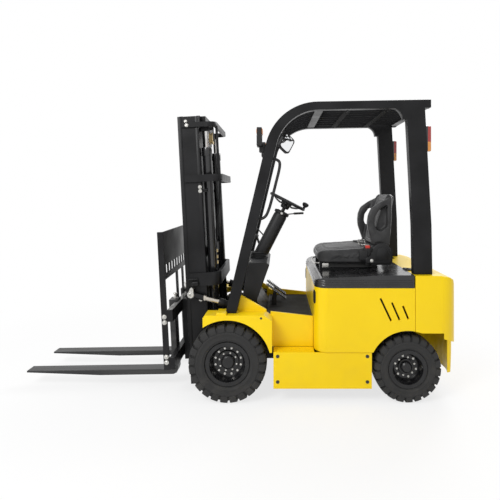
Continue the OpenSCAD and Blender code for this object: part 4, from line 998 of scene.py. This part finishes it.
shape = bmesh.new()
turned(shape, WHEEL_CENTRE, COLUMN_UP,
       [(WHEEL_RADIUS + GRIP_RADIUS * math.cos(math.tau * k / 14), GRIP_RADIUS * math.sin(math.tau * k / 14))
        for k in range(15)], 72)
turned(shape, WHEEL_CENTRE, COLUMN_UP,
       ((0.016, -0.062), (0.03, -0.06), (0.036, -0.05), (0.036, -0.026), (0.044, -0.02), (0.044, -0.012),
        (0.038, -0.006), (0.03, -0.003), (0.028, -0.006), (0, -0.006)), 40)
for angle in (90, 210, 330):
    out = COLUMN_AHEAD * math.cos(math.radians(angle)) + Vector((0, 1, 0)) * math.sin(math.radians(angle))
    wide = COLUMN_UP.cross(out)
    rings = []
    for reach, half, rise, thick in ((0.03, 0.02, -0.028, 0.012), (0.06, 0.017, -0.03, 0.011),
                                     (0.1, 0.014, -0.02, 0.01), (0.126, 0.013, -0.006, 0.01),
                                     (0.138, 0.014, 0.0, 0.01)):
        middle = WHEEL_CENTRE + out * reach + COLUMN_UP * rise
        rings.append([shape.verts.new(middle + wide * half * a + COLUMN_UP * thick * b)
                      for a, b in ((-1, -0.3), (-0.6, -0.6), (0.6, -0.6), (1, -0.3), (1, 0.3), (0.6, 0.6),
                                   (-0.6, 0.6), (-1, 0.3))])
    loft(shape, rings)
KNOB_ANGLE = math.radians(168)
knob = WHEEL_CENTRE + (COLUMN_AHEAD * math.cos(KNOB_ANGLE)
                       + Vector((0, 1, 0)) * math.sin(KNOB_ANGLE)) * WHEEL_RADIUS
turned(shape, knob, COLUMN_UP, ((0, 0), (0.01, 0), (0.01, 0.02), (0.017, 0.025), (0.025, 0.036),
                                (0.0265, 0.044), (0.022, 0.053), (0.011, 0.057), (0, 0.058)), 28)
wheel = new_piece("steering_wheel_moulding", shape, grained_plastic, "steering_wheel")
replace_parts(wheel, "steering_wheel")

shape = bmesh.new()
tube(shape, smooth_path([(AXLE_X - 0.372, 0.03, 1.25), (AXLE_X - 0.42, 0.075, 1.256),
                         (AXLE_X - 0.47, 0.1, 1.262)]), 0.0045, 10)
tube(shape, [(AXLE_X - 0.465, 0.098, 1.262), (AXLE_X - 0.534, 0.116, 1.266)], 0.0085, 12)
tube(shape, [(AXLE_X - 0.254, -0.05, 1.05), (AXLE_X - 0.214, -0.075, 1.092),
             (AXLE_X - 0.174, -0.09, 1.134)], 0.0055, 10)
turned(shape, on_column(0, 0, -0.112), COLUMN_UP,
       ((0.03, 0), (0.058, 0), (0.06, 0.004), (0.06, 0.018), (0.056, 0.022), (0.03, 0.022), (0.03, 0)), 36)
for step in range(4):
    turned(shape, (AXLE_X - 0.1945, 0, 0.916 + step * 0.011), UP,
           ((0.04, 0), (0.074 - step * 0.003, 0.0), (0.078 - step * 0.003, 0.004),
            (0.07 - step * 0.003, 0.011), (0.04, 0.011), (0.04, 0)), 40)
new_piece("column_fittings", shape, grained_plastic, "chassis")
bolts("column_bolts", "chassis", [(on_column(0.0, 0.06, -0.102), LEFT, 0.007),
                                  (on_column(0.0, -0.06, -0.102), (0, -1, 0), 0.007),
                                  ((AXLE_X - 0.14, 0.24, 0.915), UP, 0.007),
                                  ((AXLE_X - 0.14, -0.24, 0.915), UP, 0.007)])


# Floor mat and pedal pads
# A ribbed rubber mat lies on the floor plate between the fender walls.
# Ribbed pads are vulcanised on the pedals.
def edge_path(name, points):
    mesh = bpy.data.meshes.new(name)
    mesh.from_pydata([tuple(p) for p in points], [(k, k + 1) for k in range(len(points) - 1)], [])
    return mesh


rib_tree, given, result = grow_tree("ribs", {"Thickness": "Float", "Count": "Int", "Pitch": "Vector",
                                             "Material": "Material"})
curve = tree_node(rib_tree, "GeometryNodeMeshToCurve", Mesh=given.outputs["Geometry"])
section = tree_node(rib_tree, "GeometryNodeCurvePrimitiveCircle", Resolution=8,
                    Radius=given.outputs["Thickness"])
rib = tree_node(rib_tree, "GeometryNodeCurveToMesh", Curve=curve.outputs[0], Profile_Curve=section.outputs[0],
                Fill_Caps=True)
line = tree_node(rib_tree, "GeometryNodeMeshLine", Count=given.outputs["Count"],
                 Offset=given.outputs["Pitch"])
spots = tree_node(rib_tree, "GeometryNodeInstanceOnPoints", Points=line.outputs[0], Instance=rib.outputs[0])
finish_tree(rib_tree, given, spots.outputs[0], result)

mat_low, mat_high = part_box("floor_mat")
finish_node("floor_mat", tyre_rubber, 0.002)
MAT_RIBS = 26
mat_step = (mat_high[1] - mat_low[1] - 0.04) / (MAT_RIBS - 1)
grown("mat_ribs", edge_path("mat_rib", [(mat_low[0] + 0.014, mat_low[1] + 0.02, mat_high[2] - 0.0008),
                                        (mat_high[0] - 0.014, mat_low[1] + 0.02, mat_high[2] - 0.0008)]),
                                        rib_tree,
      {"Thickness": 0.0034, "Count": MAT_RIBS, "Pitch": (0, mat_step, 0)}, tyre_rubber, "chassis")
PEDAL_SLOPE = Vector((-0.148, 0, -0.114)).normalized()
PEDAL_NORMAL = Vector((-0.114, 0, 0.148)).normalized()
for tag, y in (("brake", -0.06), ("drive", -0.21)):
    start = Vector((AXLE_X - 0.268, y + 0.008, 0.695)) + PEDAL_NORMAL * 0.001
    grown(f"{tag}_pedal_ribs", edge_path(f"{tag}_rib", [start, start + Vector((0, 0.064, 0))]), rib_tree,
          {"Thickness": 0.0032, "Count": 12, "Pitch": PEDAL_SLOPE * 0.0145}, tyre_rubber, "chassis")


# Lamps
# Black shells on the front pillars hold a clear work lamp under an amber indicator.
# Those on the rear pillars hold red over amber lenses.
def lens_finish(name, color, rib):
    lens, tree, shader = new_finish(name, color, 0.12, coat=0.4)
    wave = tree.nodes.new("ShaderNodeTexWave")
    wave.inputs["Scale"].default_value = rib
    wave.bands_direction = "Y"
    tree.links.new(object_place(tree), wave.inputs["Vector"])
    bump(tree, shader, wave.outputs["Fac"], 0.0015, 0.7)
    vary_rough(tree, shader, object_noise(tree, 60.0), 0.08, 0.18)
    return lens, tree, shader


REAR_SPLIT = 1.771
rear_lens, tree, shader = lens_finish("rear_lens", (0.5, 0.02, 0.012), 40)
split = tree.nodes.new("ShaderNodeSeparateXYZ")
tree.links.new(object_place(tree), split.inputs[0])
lenses = ramp_color(tree, spread(tree, split.outputs["Z"], 0.0, 1.0, REAR_SPLIT - 0.1, REAR_SPLIT + 0.1),
                    ((0.0, (0.6, 0.24, 0.045)), (0.5, (0.33, 0.03, 0.024))), True)
housing = tree.nodes.new("ShaderNodeMath")
housing.operation = "GREATER_THAN"
housing.inputs[1].default_value = AXLE_X - 1.368
tree.links.new(split.outputs["X"], housing.inputs[0])
tree.links.new(mixed_color(tree, housing.outputs[0], lenses, (0.012, 0.012, 0.013)),
               shader.inputs["Base Color"])
finish_node("rear_lamps", rear_lens, 0.008, 4)
clear_lens, tree, shader = lens_finish("clear_lens", (0.75, 0.76, 0.78), 55)
amber_lens, tree, shader = lens_finish("amber_lens", (0.85, 0.27, 0.02), 55)

LAMP_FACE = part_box("front_lamps")[1][0]
LAMP_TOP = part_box("front_lamps")[1][2]
LAMP_Y = 0.45
for name, z0, z1, material in (("work_lamp_glass", 0.052, 0.124, clear_lens),
                               ("indicator_glass", 0.006, 0.046, amber_lens)):
    shape = bmesh.new()
    for side in (1, -1):
        rounded_box(shape, (LAMP_FACE - 0.012, side * LAMP_Y - 0.048, LAMP_TOP - z1),
                    (LAMP_FACE + 0.003, side * LAMP_Y + 0.048, LAMP_TOP - z0), 0.009, 4)
    new_piece(name, shape, material, "chassis")
shape = bmesh.new()
for side in (1, -1):
    rounded_box(shape, (LAMP_FACE - 0.04, side * LAMP_Y - 0.05, LAMP_TOP - 0.047),
                (LAMP_FACE - 0.022, side * LAMP_Y + 0.05, LAMP_TOP - 0.006), 0.008, 4)
new_piece("indicator_sides", shape, amber_lens, "chassis")


# Mirror
# Convex glass in a moulded black shell on the right front pillar, turned to the driver.
mirror_glass, tree, shader = new_finish("mirror_glass", (0.86, 0.87, 0.88), 0.05, metal=1.0)
vary_rough(tree, shader, object_noise(tree, 30.0), 0.03, 0.09)
MIRROR_TURN = math.radians(40)
MIRROR_LEAN = math.radians(34)
MIRROR_CENTRE = Vector((AXLE_X - 0.412, 0.075 - 0.42, 1.85))
mirror_right = Vector((math.cos(MIRROR_TURN), math.sin(MIRROR_TURN), 0))
mirror_out = Vector((-math.sin(MIRROR_TURN), math.cos(MIRROR_TURN), 0))
mirror_across = mirror_right * math.cos(MIRROR_LEAN) + Vector(UP) * math.sin(MIRROR_LEAN)
mirror_up = Vector(UP) * math.cos(MIRROR_LEAN) - mirror_right * math.sin(MIRROR_LEAN)
GLASS_HALF = (0.056, 0.066)
shape = bmesh.new()
glass_rings = []
for share, rise in ((1.0, 0.0125), (0.985, 0.0152), (0.7, 0.0168), (0.35, 0.0176)):
    ring = []
    for k in range(32):
        angle = math.tau * k / 32
        u = GLASS_HALF[0] * math.copysign(abs(math.cos(angle)) ** 0.45, math.cos(angle))
        v = GLASS_HALF[1] * math.copysign(abs(math.sin(angle)) ** 0.45, math.sin(angle))
        ring.append(shape.verts.new(MIRROR_CENTRE + mirror_across * u * share + mirror_up * v * share
                                    + mirror_out * rise))
    glass_rings.append(ring)
loft(shape, glass_rings)
new_piece("mirror_pane", shape, mirror_glass, "chassis")


# Hood and battery case fittings
# The hood is one glossy moulded lid with fluted side bands.
# At each front corner of the case sits a shallow black oval, a little proud of the sheet; its black is
# painted shade standing for the depth of a hand hole.
hood_plastic, tree, shader = clouded("hood_plastic", (0.011, 0.011, 0.012), (0.018, 0.018, 0.019), 7.0,
                                     (0.18, 0.32), coat=0.3, shine=0.42)
bump(tree, shader, object_noise(tree, 700, 2.0), 0.0003, 0.3)
finish_node("hood", hood_plastic, 0.012, 4)
hood_low, hood_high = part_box("hood")
FLUTE_HEIGHTS = (0.797, 0.812, 0.827)
FLUTE_RADIUS = 0.0042
HOOD_CORNER = 0.088
NOSE_ROLL = 0.04
NOSE_HEIGHT = 0.801
for side, tag in ((1, "left"), (-1, "right")):
    shape = bmesh.new()
    for z in FLUTE_HEIGHTS:
        rise = max(z - NOSE_HEIGHT, 0)
        front = hood_high[0] - NOSE_ROLL + math.sqrt(NOSE_ROLL ** 2 - rise ** 2)
        path = [(hood_low[0] + 0.02, side * hood_high[1], z)]
        for degrees in range(90, -1, -10):
            x = hood_high[0] - HOOD_CORNER * (1 - math.cos(math.radians(degrees)))
            y = hood_high[1] - HOOD_CORNER * (1 - math.sin(math.radians(degrees)))
            path.append((min(x, front), side * y, z))
        tube(shape, path + [(front, side * (hood_high[1] - 0.19), z)], FLUTE_RADIUS, 8)
    new_piece(f"hood_flutes_{tag}", shape, hood_plastic, "hood")

CASE_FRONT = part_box("battery_case")[1][0]
CASE_CORNER = 0.09
HOLE_ANGLE = math.radians(14)
HOLE_HALF = (0.021, 0.047)
# Black oval pads on the case corners: painted shade in place of a recessed hand hole.
shape = bmesh.new()
for side in (1, -1):
    out = Vector((math.cos(HOLE_ANGLE), side * math.sin(HOLE_ANGLE), 0))
    across = Vector((-side * math.sin(HOLE_ANGLE), math.cos(HOLE_ANGLE), 0))
    centre = Vector((CASE_FRONT - CASE_CORNER, side * 0.44, 0.708)) + out * CASE_CORNER
    rings = []
    for grow, rise in ((1.0, -0.008), (1.0, 0.002), (0.88, 0.0032), (0.72, 0.0005)):
        ring = []
        for k in range(28):
            angle = math.tau * k / 28
            up = math.copysign(HOLE_HALF[1] - HOLE_HALF[0],
                               math.sin(angle)) + HOLE_HALF[0] * grow * math.sin(angle)
            ring.append(shape.verts.new(centre + across * HOLE_HALF[0] * grow * math.cos(angle)
                                        + Vector(UP) * up + out * rise))
        rings.append(ring)
    loft(shape, rings)
new_piece("hand_hole_shade_pads", shape, grained_plastic, "chassis")


# Seat
# A bucket seat in black grained vinyl over moulded foam: a rising cushion, and a back with open wing loops.
# The covers are sewn in panels with a raised welt, coloured light grey as a painted highlight along the panel
# edges; the foam fills them tight.
vinyl, tree, shader = new_finish("seat_vinyl", (0.014, 0.014, 0.015), 0.42)
shader.inputs["Specular IOR Level"].default_value = 0.3
cells = tree.nodes.new("ShaderNodeTexVoronoi")
cells.inputs["Scale"].default_value = 420
tree.links.new(object_place(tree), cells.inputs["Vector"])
cloud = object_noise(tree, 12.0)
vary_color(tree, shader, cloud, (0.028, 0.028, 0.029), (0.044, 0.044, 0.045))
vary_rough(tree, shader, cloud, 0.36, 0.5)
bump(tree, shader, cells.outputs["Distance"], 0.0007, 0.5)
PAD_VOXEL = 0.006
PAD_PRESSURE = 4.0
PAD_FRAMES = 20


def flatten_modifiers(piece):
    graph = bpy.context.evaluated_depsgraph_get()
    mesh = bpy.data.meshes.new_from_object(piece.evaluated_get(graph), depsgraph=graph)
    piece.modifiers.clear()
    piece.data = mesh


def soft_copy(name, node, shrink, smoothing, cap):
    """A stuffed copy of a CAD solid: drawn in, remeshed, rounded, then swollen by cloth pressure."""
    shape = bmesh.new()
    shape.from_mesh(nodes[node].data)
    bmesh.ops.remove_doubles(shape, verts=shape.verts, dist=1e-5)
    mesh = bpy.data.meshes.new(name)
    shape.to_mesh(mesh)
    shape.free()
    piece = bpy.data.objects.new(name, mesh)
    scene.collection.objects.link(piece)
    remesh = piece.modifiers.new("voxels", "REMESH")
    remesh.mode = "VOXEL"
    remesh.voxel_size = PAD_VOXEL
    rounding = piece.modifiers.new("rounding", "SMOOTH")
    rounding.factor = 0.5
    rounding.iterations = smoothing
    draw_in = piece.modifiers.new("draw_in", "DISPLACE")
    draw_in.mid_level = 0.0
    draw_in.strength = -shrink
    flatten_modifiers(piece)
    rest = [vert.co.copy() for vert in piece.data.vertices]
    swell = piece.modifiers.new("swell", "CLOTH")
    swell.settings.use_pressure = True
    swell.settings.uniform_pressure_force = PAD_PRESSURE
    swell.settings.effector_weights.gravity = 0
    swell.settings.quality = 4
    swell.point_cache.frame_start = 1
    swell.point_cache.frame_end = PAD_FRAMES
    for step in range(1, PAD_FRAMES + 1):
        scene.frame_set(step)
    flatten_modifiers(piece)
    scene.frame_set(1)
    for vert, home in zip(piece.data.vertices, rest):
        move = vert.co - home
        if move.length > cap:
            vert.co = home + move * (cap / move.length)
    finer = piece.modifiers.new("finer", "SUBSURF")
    finer.levels = finer.render_levels = 1
    flatten_modifiers(piece)
    for face in piece.data.polygons:
        face.use_smooth = True
    piece.data.materials.clear()
    piece.data.materials.append(vinyl)
    return piece


def sew(piece, path, width, depth, facing):
    """Pulls the cover in along a sewn line, on the side that faces the given way."""
    tree = KDTree(len(path))
    for k, point in enumerate(path):
        tree.insert(point, k)
    tree.balance()
    for vert in piece.data.vertices:
        distance = tree.find(vert.co)[2]
        if distance < width and vert.normal.dot(facing) > 0.1:
            vert.co -= vert.normal * depth * (1 - (distance / width) ** 2) ** 2


def laid_on(piece, points, way, reach):
    """Drops points along a way onto a piece, from the given reach outside it."""
    mesh = piece.data
    skin = BVHTree.FromPolygons([v.co for v in mesh.vertices], [p.vertices for p in mesh.polygons])
    way = Vector(way).normalized()
    hits = [skin.ray_cast(Vector(p) - way * reach, way)[0] for p in points]
    return [hit for hit in hits if hit is not None]


def rounded_loop(u0, u1, v0, v1, radius, step=0.008):
    """Points of a closed rounded rectangle, evenly spaced."""
    loop = []
    for cu, cv, first in ((u1 - radius, v1 - radius, 0), (u0 + radius, v1 - radius, 90),
                          (u0 + radius, v0 + radius, 180), (u1 - radius, v0 + radius, 270)):
        for k in range(9):
            angle = math.radians(first + 90 * k / 8)
            loop.append(Vector((cu + radius * math.cos(angle), cv + radius * math.sin(angle))))
    even = []
    for a, b in zip(loop, loop[1:] + loop[:1]):
        count = max(1, round((b - a).length / step))
        even += [a.lerp(b, k / count) for k in range(count)]
    return even


cushion_low, cushion_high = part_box("seat_cushion")
cushion = soft_copy("seat_cushion_pad", "seat_cushion", 0.004, 10, 0.006)
for vert in cushion.data.vertices:
    vert.co.z = max(vert.co.z, cushion_low[2] + 0.0005)
welt_loop = rounded_loop(cushion_low[0] + 0.02, cushion_high[0] - 0.02, cushion_low[1] + 0.019,
                         cushion_high[1] - 0.019, 0.1)
panel_loop = rounded_loop(cushion_low[0] + 0.06, cushion_high[0] - 0.075, cushion_low[1] + 0.085,
                          cushion_high[1] - 0.085, 0.07)
welt = laid_on(cushion, [(p.x, p.y, cushion_high[2]) for p in welt_loop], (0, 0, -1), 0.3)
sew(cushion, welt, 0.012, 0.004, Vector(UP))
sew(cushion, laid_on(cushion, [(p.x, p.y, cushion_high[2]) for p in panel_loop], (0, 0, -1), 0.3), 0.016,
    0.005, Vector(UP))
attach(cushion, "hood")
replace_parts(cushion, "seat_cushion")

back_low, back_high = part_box("seat_back")
BACK_BEND = 1.17
BACK_SET = 0.038
back = soft_copy("seat_back_pad", "seat_back", 0.003, 9, 0.005)
for vert in back.data.vertices:
    rise = min(max((vert.co.z - BACK_BEND) / (back_high[2] - BACK_BEND), 0), 1)
    middle = min(max((0.2 - abs(vert.co.y)) / 0.05, 0), 1)
    vert.co.x -= BACK_SET * rise * rise * (3 - 2 * rise) * middle
back_loop = rounded_loop(-0.135, 0.135, back_low[2] + 0.12, back_high[2] - 0.05, 0.06)
panel = laid_on(back, [(back_high[0], p.x, p.y) for p in back_loop], (-1, 0, 0), 0.1)
sew(back, panel, 0.014, 0.005, Vector((1, 0, 0)))
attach(back, "hood")
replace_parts(back, "seat_back")

WELT_RADIUS = 0.0042
# The welt is real piping; its light grey colour is a painted highlight on the black vinyl edges.
welt_painted_highlight, tree, shader = new_finish("welt_painted_highlight", (0.18, 0.18, 0.183), 0.4)
vary_color(tree, shader, object_noise(tree, 60), (0.14, 0.14, 0.143), (0.22, 0.22, 0.223))
vary_rough(tree, shader, object_noise(tree, 200), 0.34, 0.46)
shape = bmesh.new()
for piece, loop, way in ((cushion, [(p.x, p.y, cushion_high[2]) for p in welt_loop], (0, 0, -1)),
                         (back, [(back_high[0], p.x, p.y) for p in back_loop], (-1, 0, 0))):
    path = laid_on(piece, loop, way, 0.3 if way[2] else 0.1)
    path = [p - Vector(way) * WELT_RADIUS * 0.5 for p in path]
    tube(shape, path + path[:1], WELT_RADIUS, 8)
new_piece("seat_welts", shape, welt_painted_highlight, "hood")

stitch_tree, given, result = grow_tree("stitches", {"Length": "Float", "Thread": "Float",
                                                    "Material": "Material"})
thread = tree_node(stitch_tree, "GeometryNodeMeshCylinder", Vertices=6, Radius=given.outputs["Thread"],
                   Depth=given.outputs["Length"])
turn = tree_node(stitch_tree, "FunctionNodeAlignRotationToVector",
                 Vector=point_value(stitch_tree, "facing", "FLOAT_VECTOR"))
turn.axis = "Z"
spots = tree_node(stitch_tree, "GeometryNodeInstanceOnPoints", Points=given.outputs["Geometry"],
                  Instance=thread.outputs[0], Rotation=turn.outputs[0])
finish_tree(stitch_tree, given, spots.outputs[0], result)
thread_grey, tree, shader = new_finish("thread_grey", (0.07, 0.07, 0.072), 0.6)
bump(tree, shader, object_noise(tree, 1500, 2.0), 0.0003, 0.5)
vary_color(tree, shader, object_noise(tree, 300), (0.05, 0.05, 0.052), (0.1, 0.1, 0.102))
stitch_rows = []
for piece, loop, way, inset in (
        (cushion, rounded_loop(cushion_low[0] + 0.067, cushion_high[0] - 0.082, cushion_low[1] + 0.092,
                               cushion_high[1] - 0.092, 0.064), (0, 0, -1), 0.3),
        (back, rounded_loop(-0.128, 0.128, back_low[2] + 0.127, back_high[2] - 0.057, 0.054), (-1, 0, 0),
         0.1)):
    points = [(p.x, p.y, cushion_high[2]) if way[2] else (back_high[0], p.x, p.y) for p in loop]
    path = laid_on(piece, points, way, inset)
    for a, b in zip(path, path[1:]):
        stitch_rows.append(((a + b) / 2 - Vector(way) * 0.0004, b - a, 1.0))
grown("seat_stitches", marked_points("stitch_points", stitch_rows), stitch_tree,
      {"Length": 0.0052, "Thread": 0.0007}, thread_grey, "hood")


# Seat fittings
# Moulded recliner covers with a bright pivot, and a woven lap belt with its buckle.
# A steel slide bar and a folded rubber bellows sit under the cushion.
base_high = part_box("seat_base")[1]
RECLINER = (AXLE_X - 1.1, 0.984)
ARCH = 0.069
cover_outline = [(RECLINER[0] + ARCH * math.cos(math.radians(a)),
                  RECLINER[1] + ARCH * math.sin(math.radians(a)))
                 for a in range(0, 181, 12)]
cover_outline += [(RECLINER[0] - ARCH, 0.93), (RECLINER[0] - 0.056, 0.909), (RECLINER[0] + 0.1, 0.905),
                  (RECLINER[0] + 0.118, 0.914), (RECLINER[0] + 0.12, 0.938), (RECLINER[0] + 0.104, 0.952),
                  (RECLINER[0] + 0.078, 0.962)]
inset_outline = [(RECLINER[0] - 0.006 + (x - RECLINER[0]) * 0.66, 0.972 + (z - 0.978) * 0.68)
                 for x, z in cover_outline[:18]]
inset_outline += [(RECLINER[0] + 0.052, 0.926)]
shape = bmesh.new()
for side in (1, -1):
    face = base_high[1]
    plate(shape, cover_outline, side * (face - 0.004), side * (face + 0.012), 0.005, 3)
    plate(shape, inset_outline, side * (face + 0.01), side * (face + 0.017), 0.003, 2)
    y0, y1 = sorted((side * (face - 0.02), side * (face + 0.006)))
    rounded_box(shape, (AXLE_X - 1.0, y0, 0.925), (AXLE_X - 0.935, y1, 1.0), 0.008, 3)
new_piece("recliner_covers", shape, grained_plastic, "hood")
bolts("recliner_pivots", "hood", both([((AXLE_X - 1.025, base_high[1] + 0.012, 0.927), LEFT, 0.0085)]),
      sides=16)

belt_webbing, tree, shader = new_finish("belt_webbing", (0.018, 0.018, 0.019), 0.75)
weave = tree.nodes.new("ShaderNodeTexWave")
weave.inputs["Scale"].default_value = 260
weave.inputs["Distortion"].default_value = 1.5
tree.links.new(object_place(tree), weave.inputs["Vector"])
bump(tree, shader, weave.outputs["Fac"], 0.0006, 0.7)
vary_color(tree, shader, object_noise(tree, 40), (0.013, 0.013, 0.014), (0.026, 0.026, 0.027))
BELT_HALF = 0.023
BELT_THICK = 0.0016
strap_line = laid_on(cushion, [(AXLE_X - 1.0 + 0.02 * math.sin(k / 5), -0.225 + k * 0.012, cushion_high[2])
                               for k in range(32)], (0, 0, -1), 0.3)
shape = bmesh.new()
rings = []
for p in strap_line:
    p = p + Vector((0, 0, 0.0022))
    rings.append([shape.verts.new(p + Vector((a * BELT_HALF, 0, b * BELT_THICK))) for a, b in
                  ((-1, -0.5), (1, -0.5), (1, 0.5), (-1, 0.5))])
loft(shape, rings)
new_piece("lap_belt", shape, belt_webbing, "hood")

tongue = strap_line[-1] + Vector((0, 0.012, 0.006))
shape = bmesh.new()
rounded_box(shape, tongue - Vector((0.03, 0.02, 0.003)), tongue + Vector((0.03, 0.022, 0.004)), 0.0025)
rounded_box(shape, tongue + Vector((-0.012, 0.018, -0.001)), tongue + Vector((0.012, 0.05, 0.0025)), 0.001)
slider = strap_line[24] + Vector((0.03, 0, 0.014))
frame_loop = rounded_loop(-0.026, 0.026, -0.03, 0.03, 0.008, 0.006)
tilt = math.radians(30)
ring = [slider + Vector((p.x, p.y * math.cos(tilt), -p.y * math.sin(tilt))) for p in frame_loop]
tube(shape, ring + ring[:1], 0.0024, 8)
tube(shape, [slider + Vector((-0.026, 0, 0)), slider + Vector((0.026, 0, 0))], 0.0024, 8)
new_piece("belt_tongue", shape, zinc_plate, "hood")
BUCKLE = Vector((AXLE_X - 0.998, base_high[1] - 0.012, 1.012))
shape = bmesh.new()
rounded_box(shape, BUCKLE - Vector((0.026, 0.012, 0.06)), BUCKLE + Vector((0.026, 0.012, 0.02)), 0.006)
rounded_box(shape, BUCKLE - Vector((0.013, 0.004, 0.12)), BUCKLE + Vector((0.013, 0.004, -0.05)), 0.002)
new_piece("belt_buckle", shape, grained_plastic, "hood")
red_button, tree, shader = new_finish("red_button", (0.55, 0.03, 0.015), 0.35)
vary_color(tree, shader, object_noise(tree, 50), (0.48, 0.022, 0.012), (0.62, 0.04, 0.02))
bump(tree, shader, object_noise(tree, 900), 0.0002, 0.4)
shape = bmesh.new()
rounded_box(shape, BUCKLE + Vector((-0.018, -0.0135, 0.002)), BUCKLE + Vector((0.018, 0.0135, 0.0235)), 0.004)
new_piece("buckle_button", shape, red_button, "hood")

shape = bmesh.new()
slide_z = cushion_low[2] - 0.012
tube(shape, smooth_path([(AXLE_X - 0.72, -0.17, slide_z), (AXLE_X - 0.65, -0.165, slide_z),
                         (AXLE_X - 0.622, -0.12, slide_z - 0.006), (AXLE_X - 0.615, 0, slide_z - 0.008),
                         (AXLE_X - 0.622, 0.12, slide_z - 0.006), (AXLE_X - 0.65, 0.165, slide_z),
                         (AXLE_X - 0.72, 0.17, slide_z)]), 0.0055, 10)
for side in (1, -1):
    y0, y1 = sorted((side * 0.191, side * 0.199))
    rounded_box(shape, (AXLE_X - 0.735, y0, 0.864), (AXLE_X - 0.672, y1, slide_z + 0.004), 0.002)
new_piece("slide_bar", shape, zinc_plate, "hood")

bellows_loop = rounded_loop(AXLE_X - 1.06, AXLE_X - 0.7, -0.205, 0.205, 0.05, 0.03)
bellows_path = [(p.x, p.y, 0.872) for p in bellows_loop]
bellows_mesh = edge_path("bellows_fold", bellows_path + bellows_path[:1])
grown("suspension_bellows", bellows_mesh, rib_tree, {"Thickness": 0.0058, "Count": 4,
                                                     "Pitch": (0, 0, 0.0092)}, tyre_rubber,
      "hood")


# Edges
# Folded sheet, castings and mouldings have no sharp corners, so every solid's edges are rounded, last of all.
for name, edge, steps in edge_plan:
    weld = nodes[name].modifiers.new("join_faces", "WELD")
    weld.merge_threshold = 0.00002
    rounding = nodes[name].modifiers.new("soft_edges", "BEVEL")
    rounding.width = edge
    rounding.segments = steps
    rounding.limit_method = "ANGLE"
    rounding.angle_limit = math.radians(32)
    rounding.use_clamp_overlap = True
    rounding.harden_normals = True
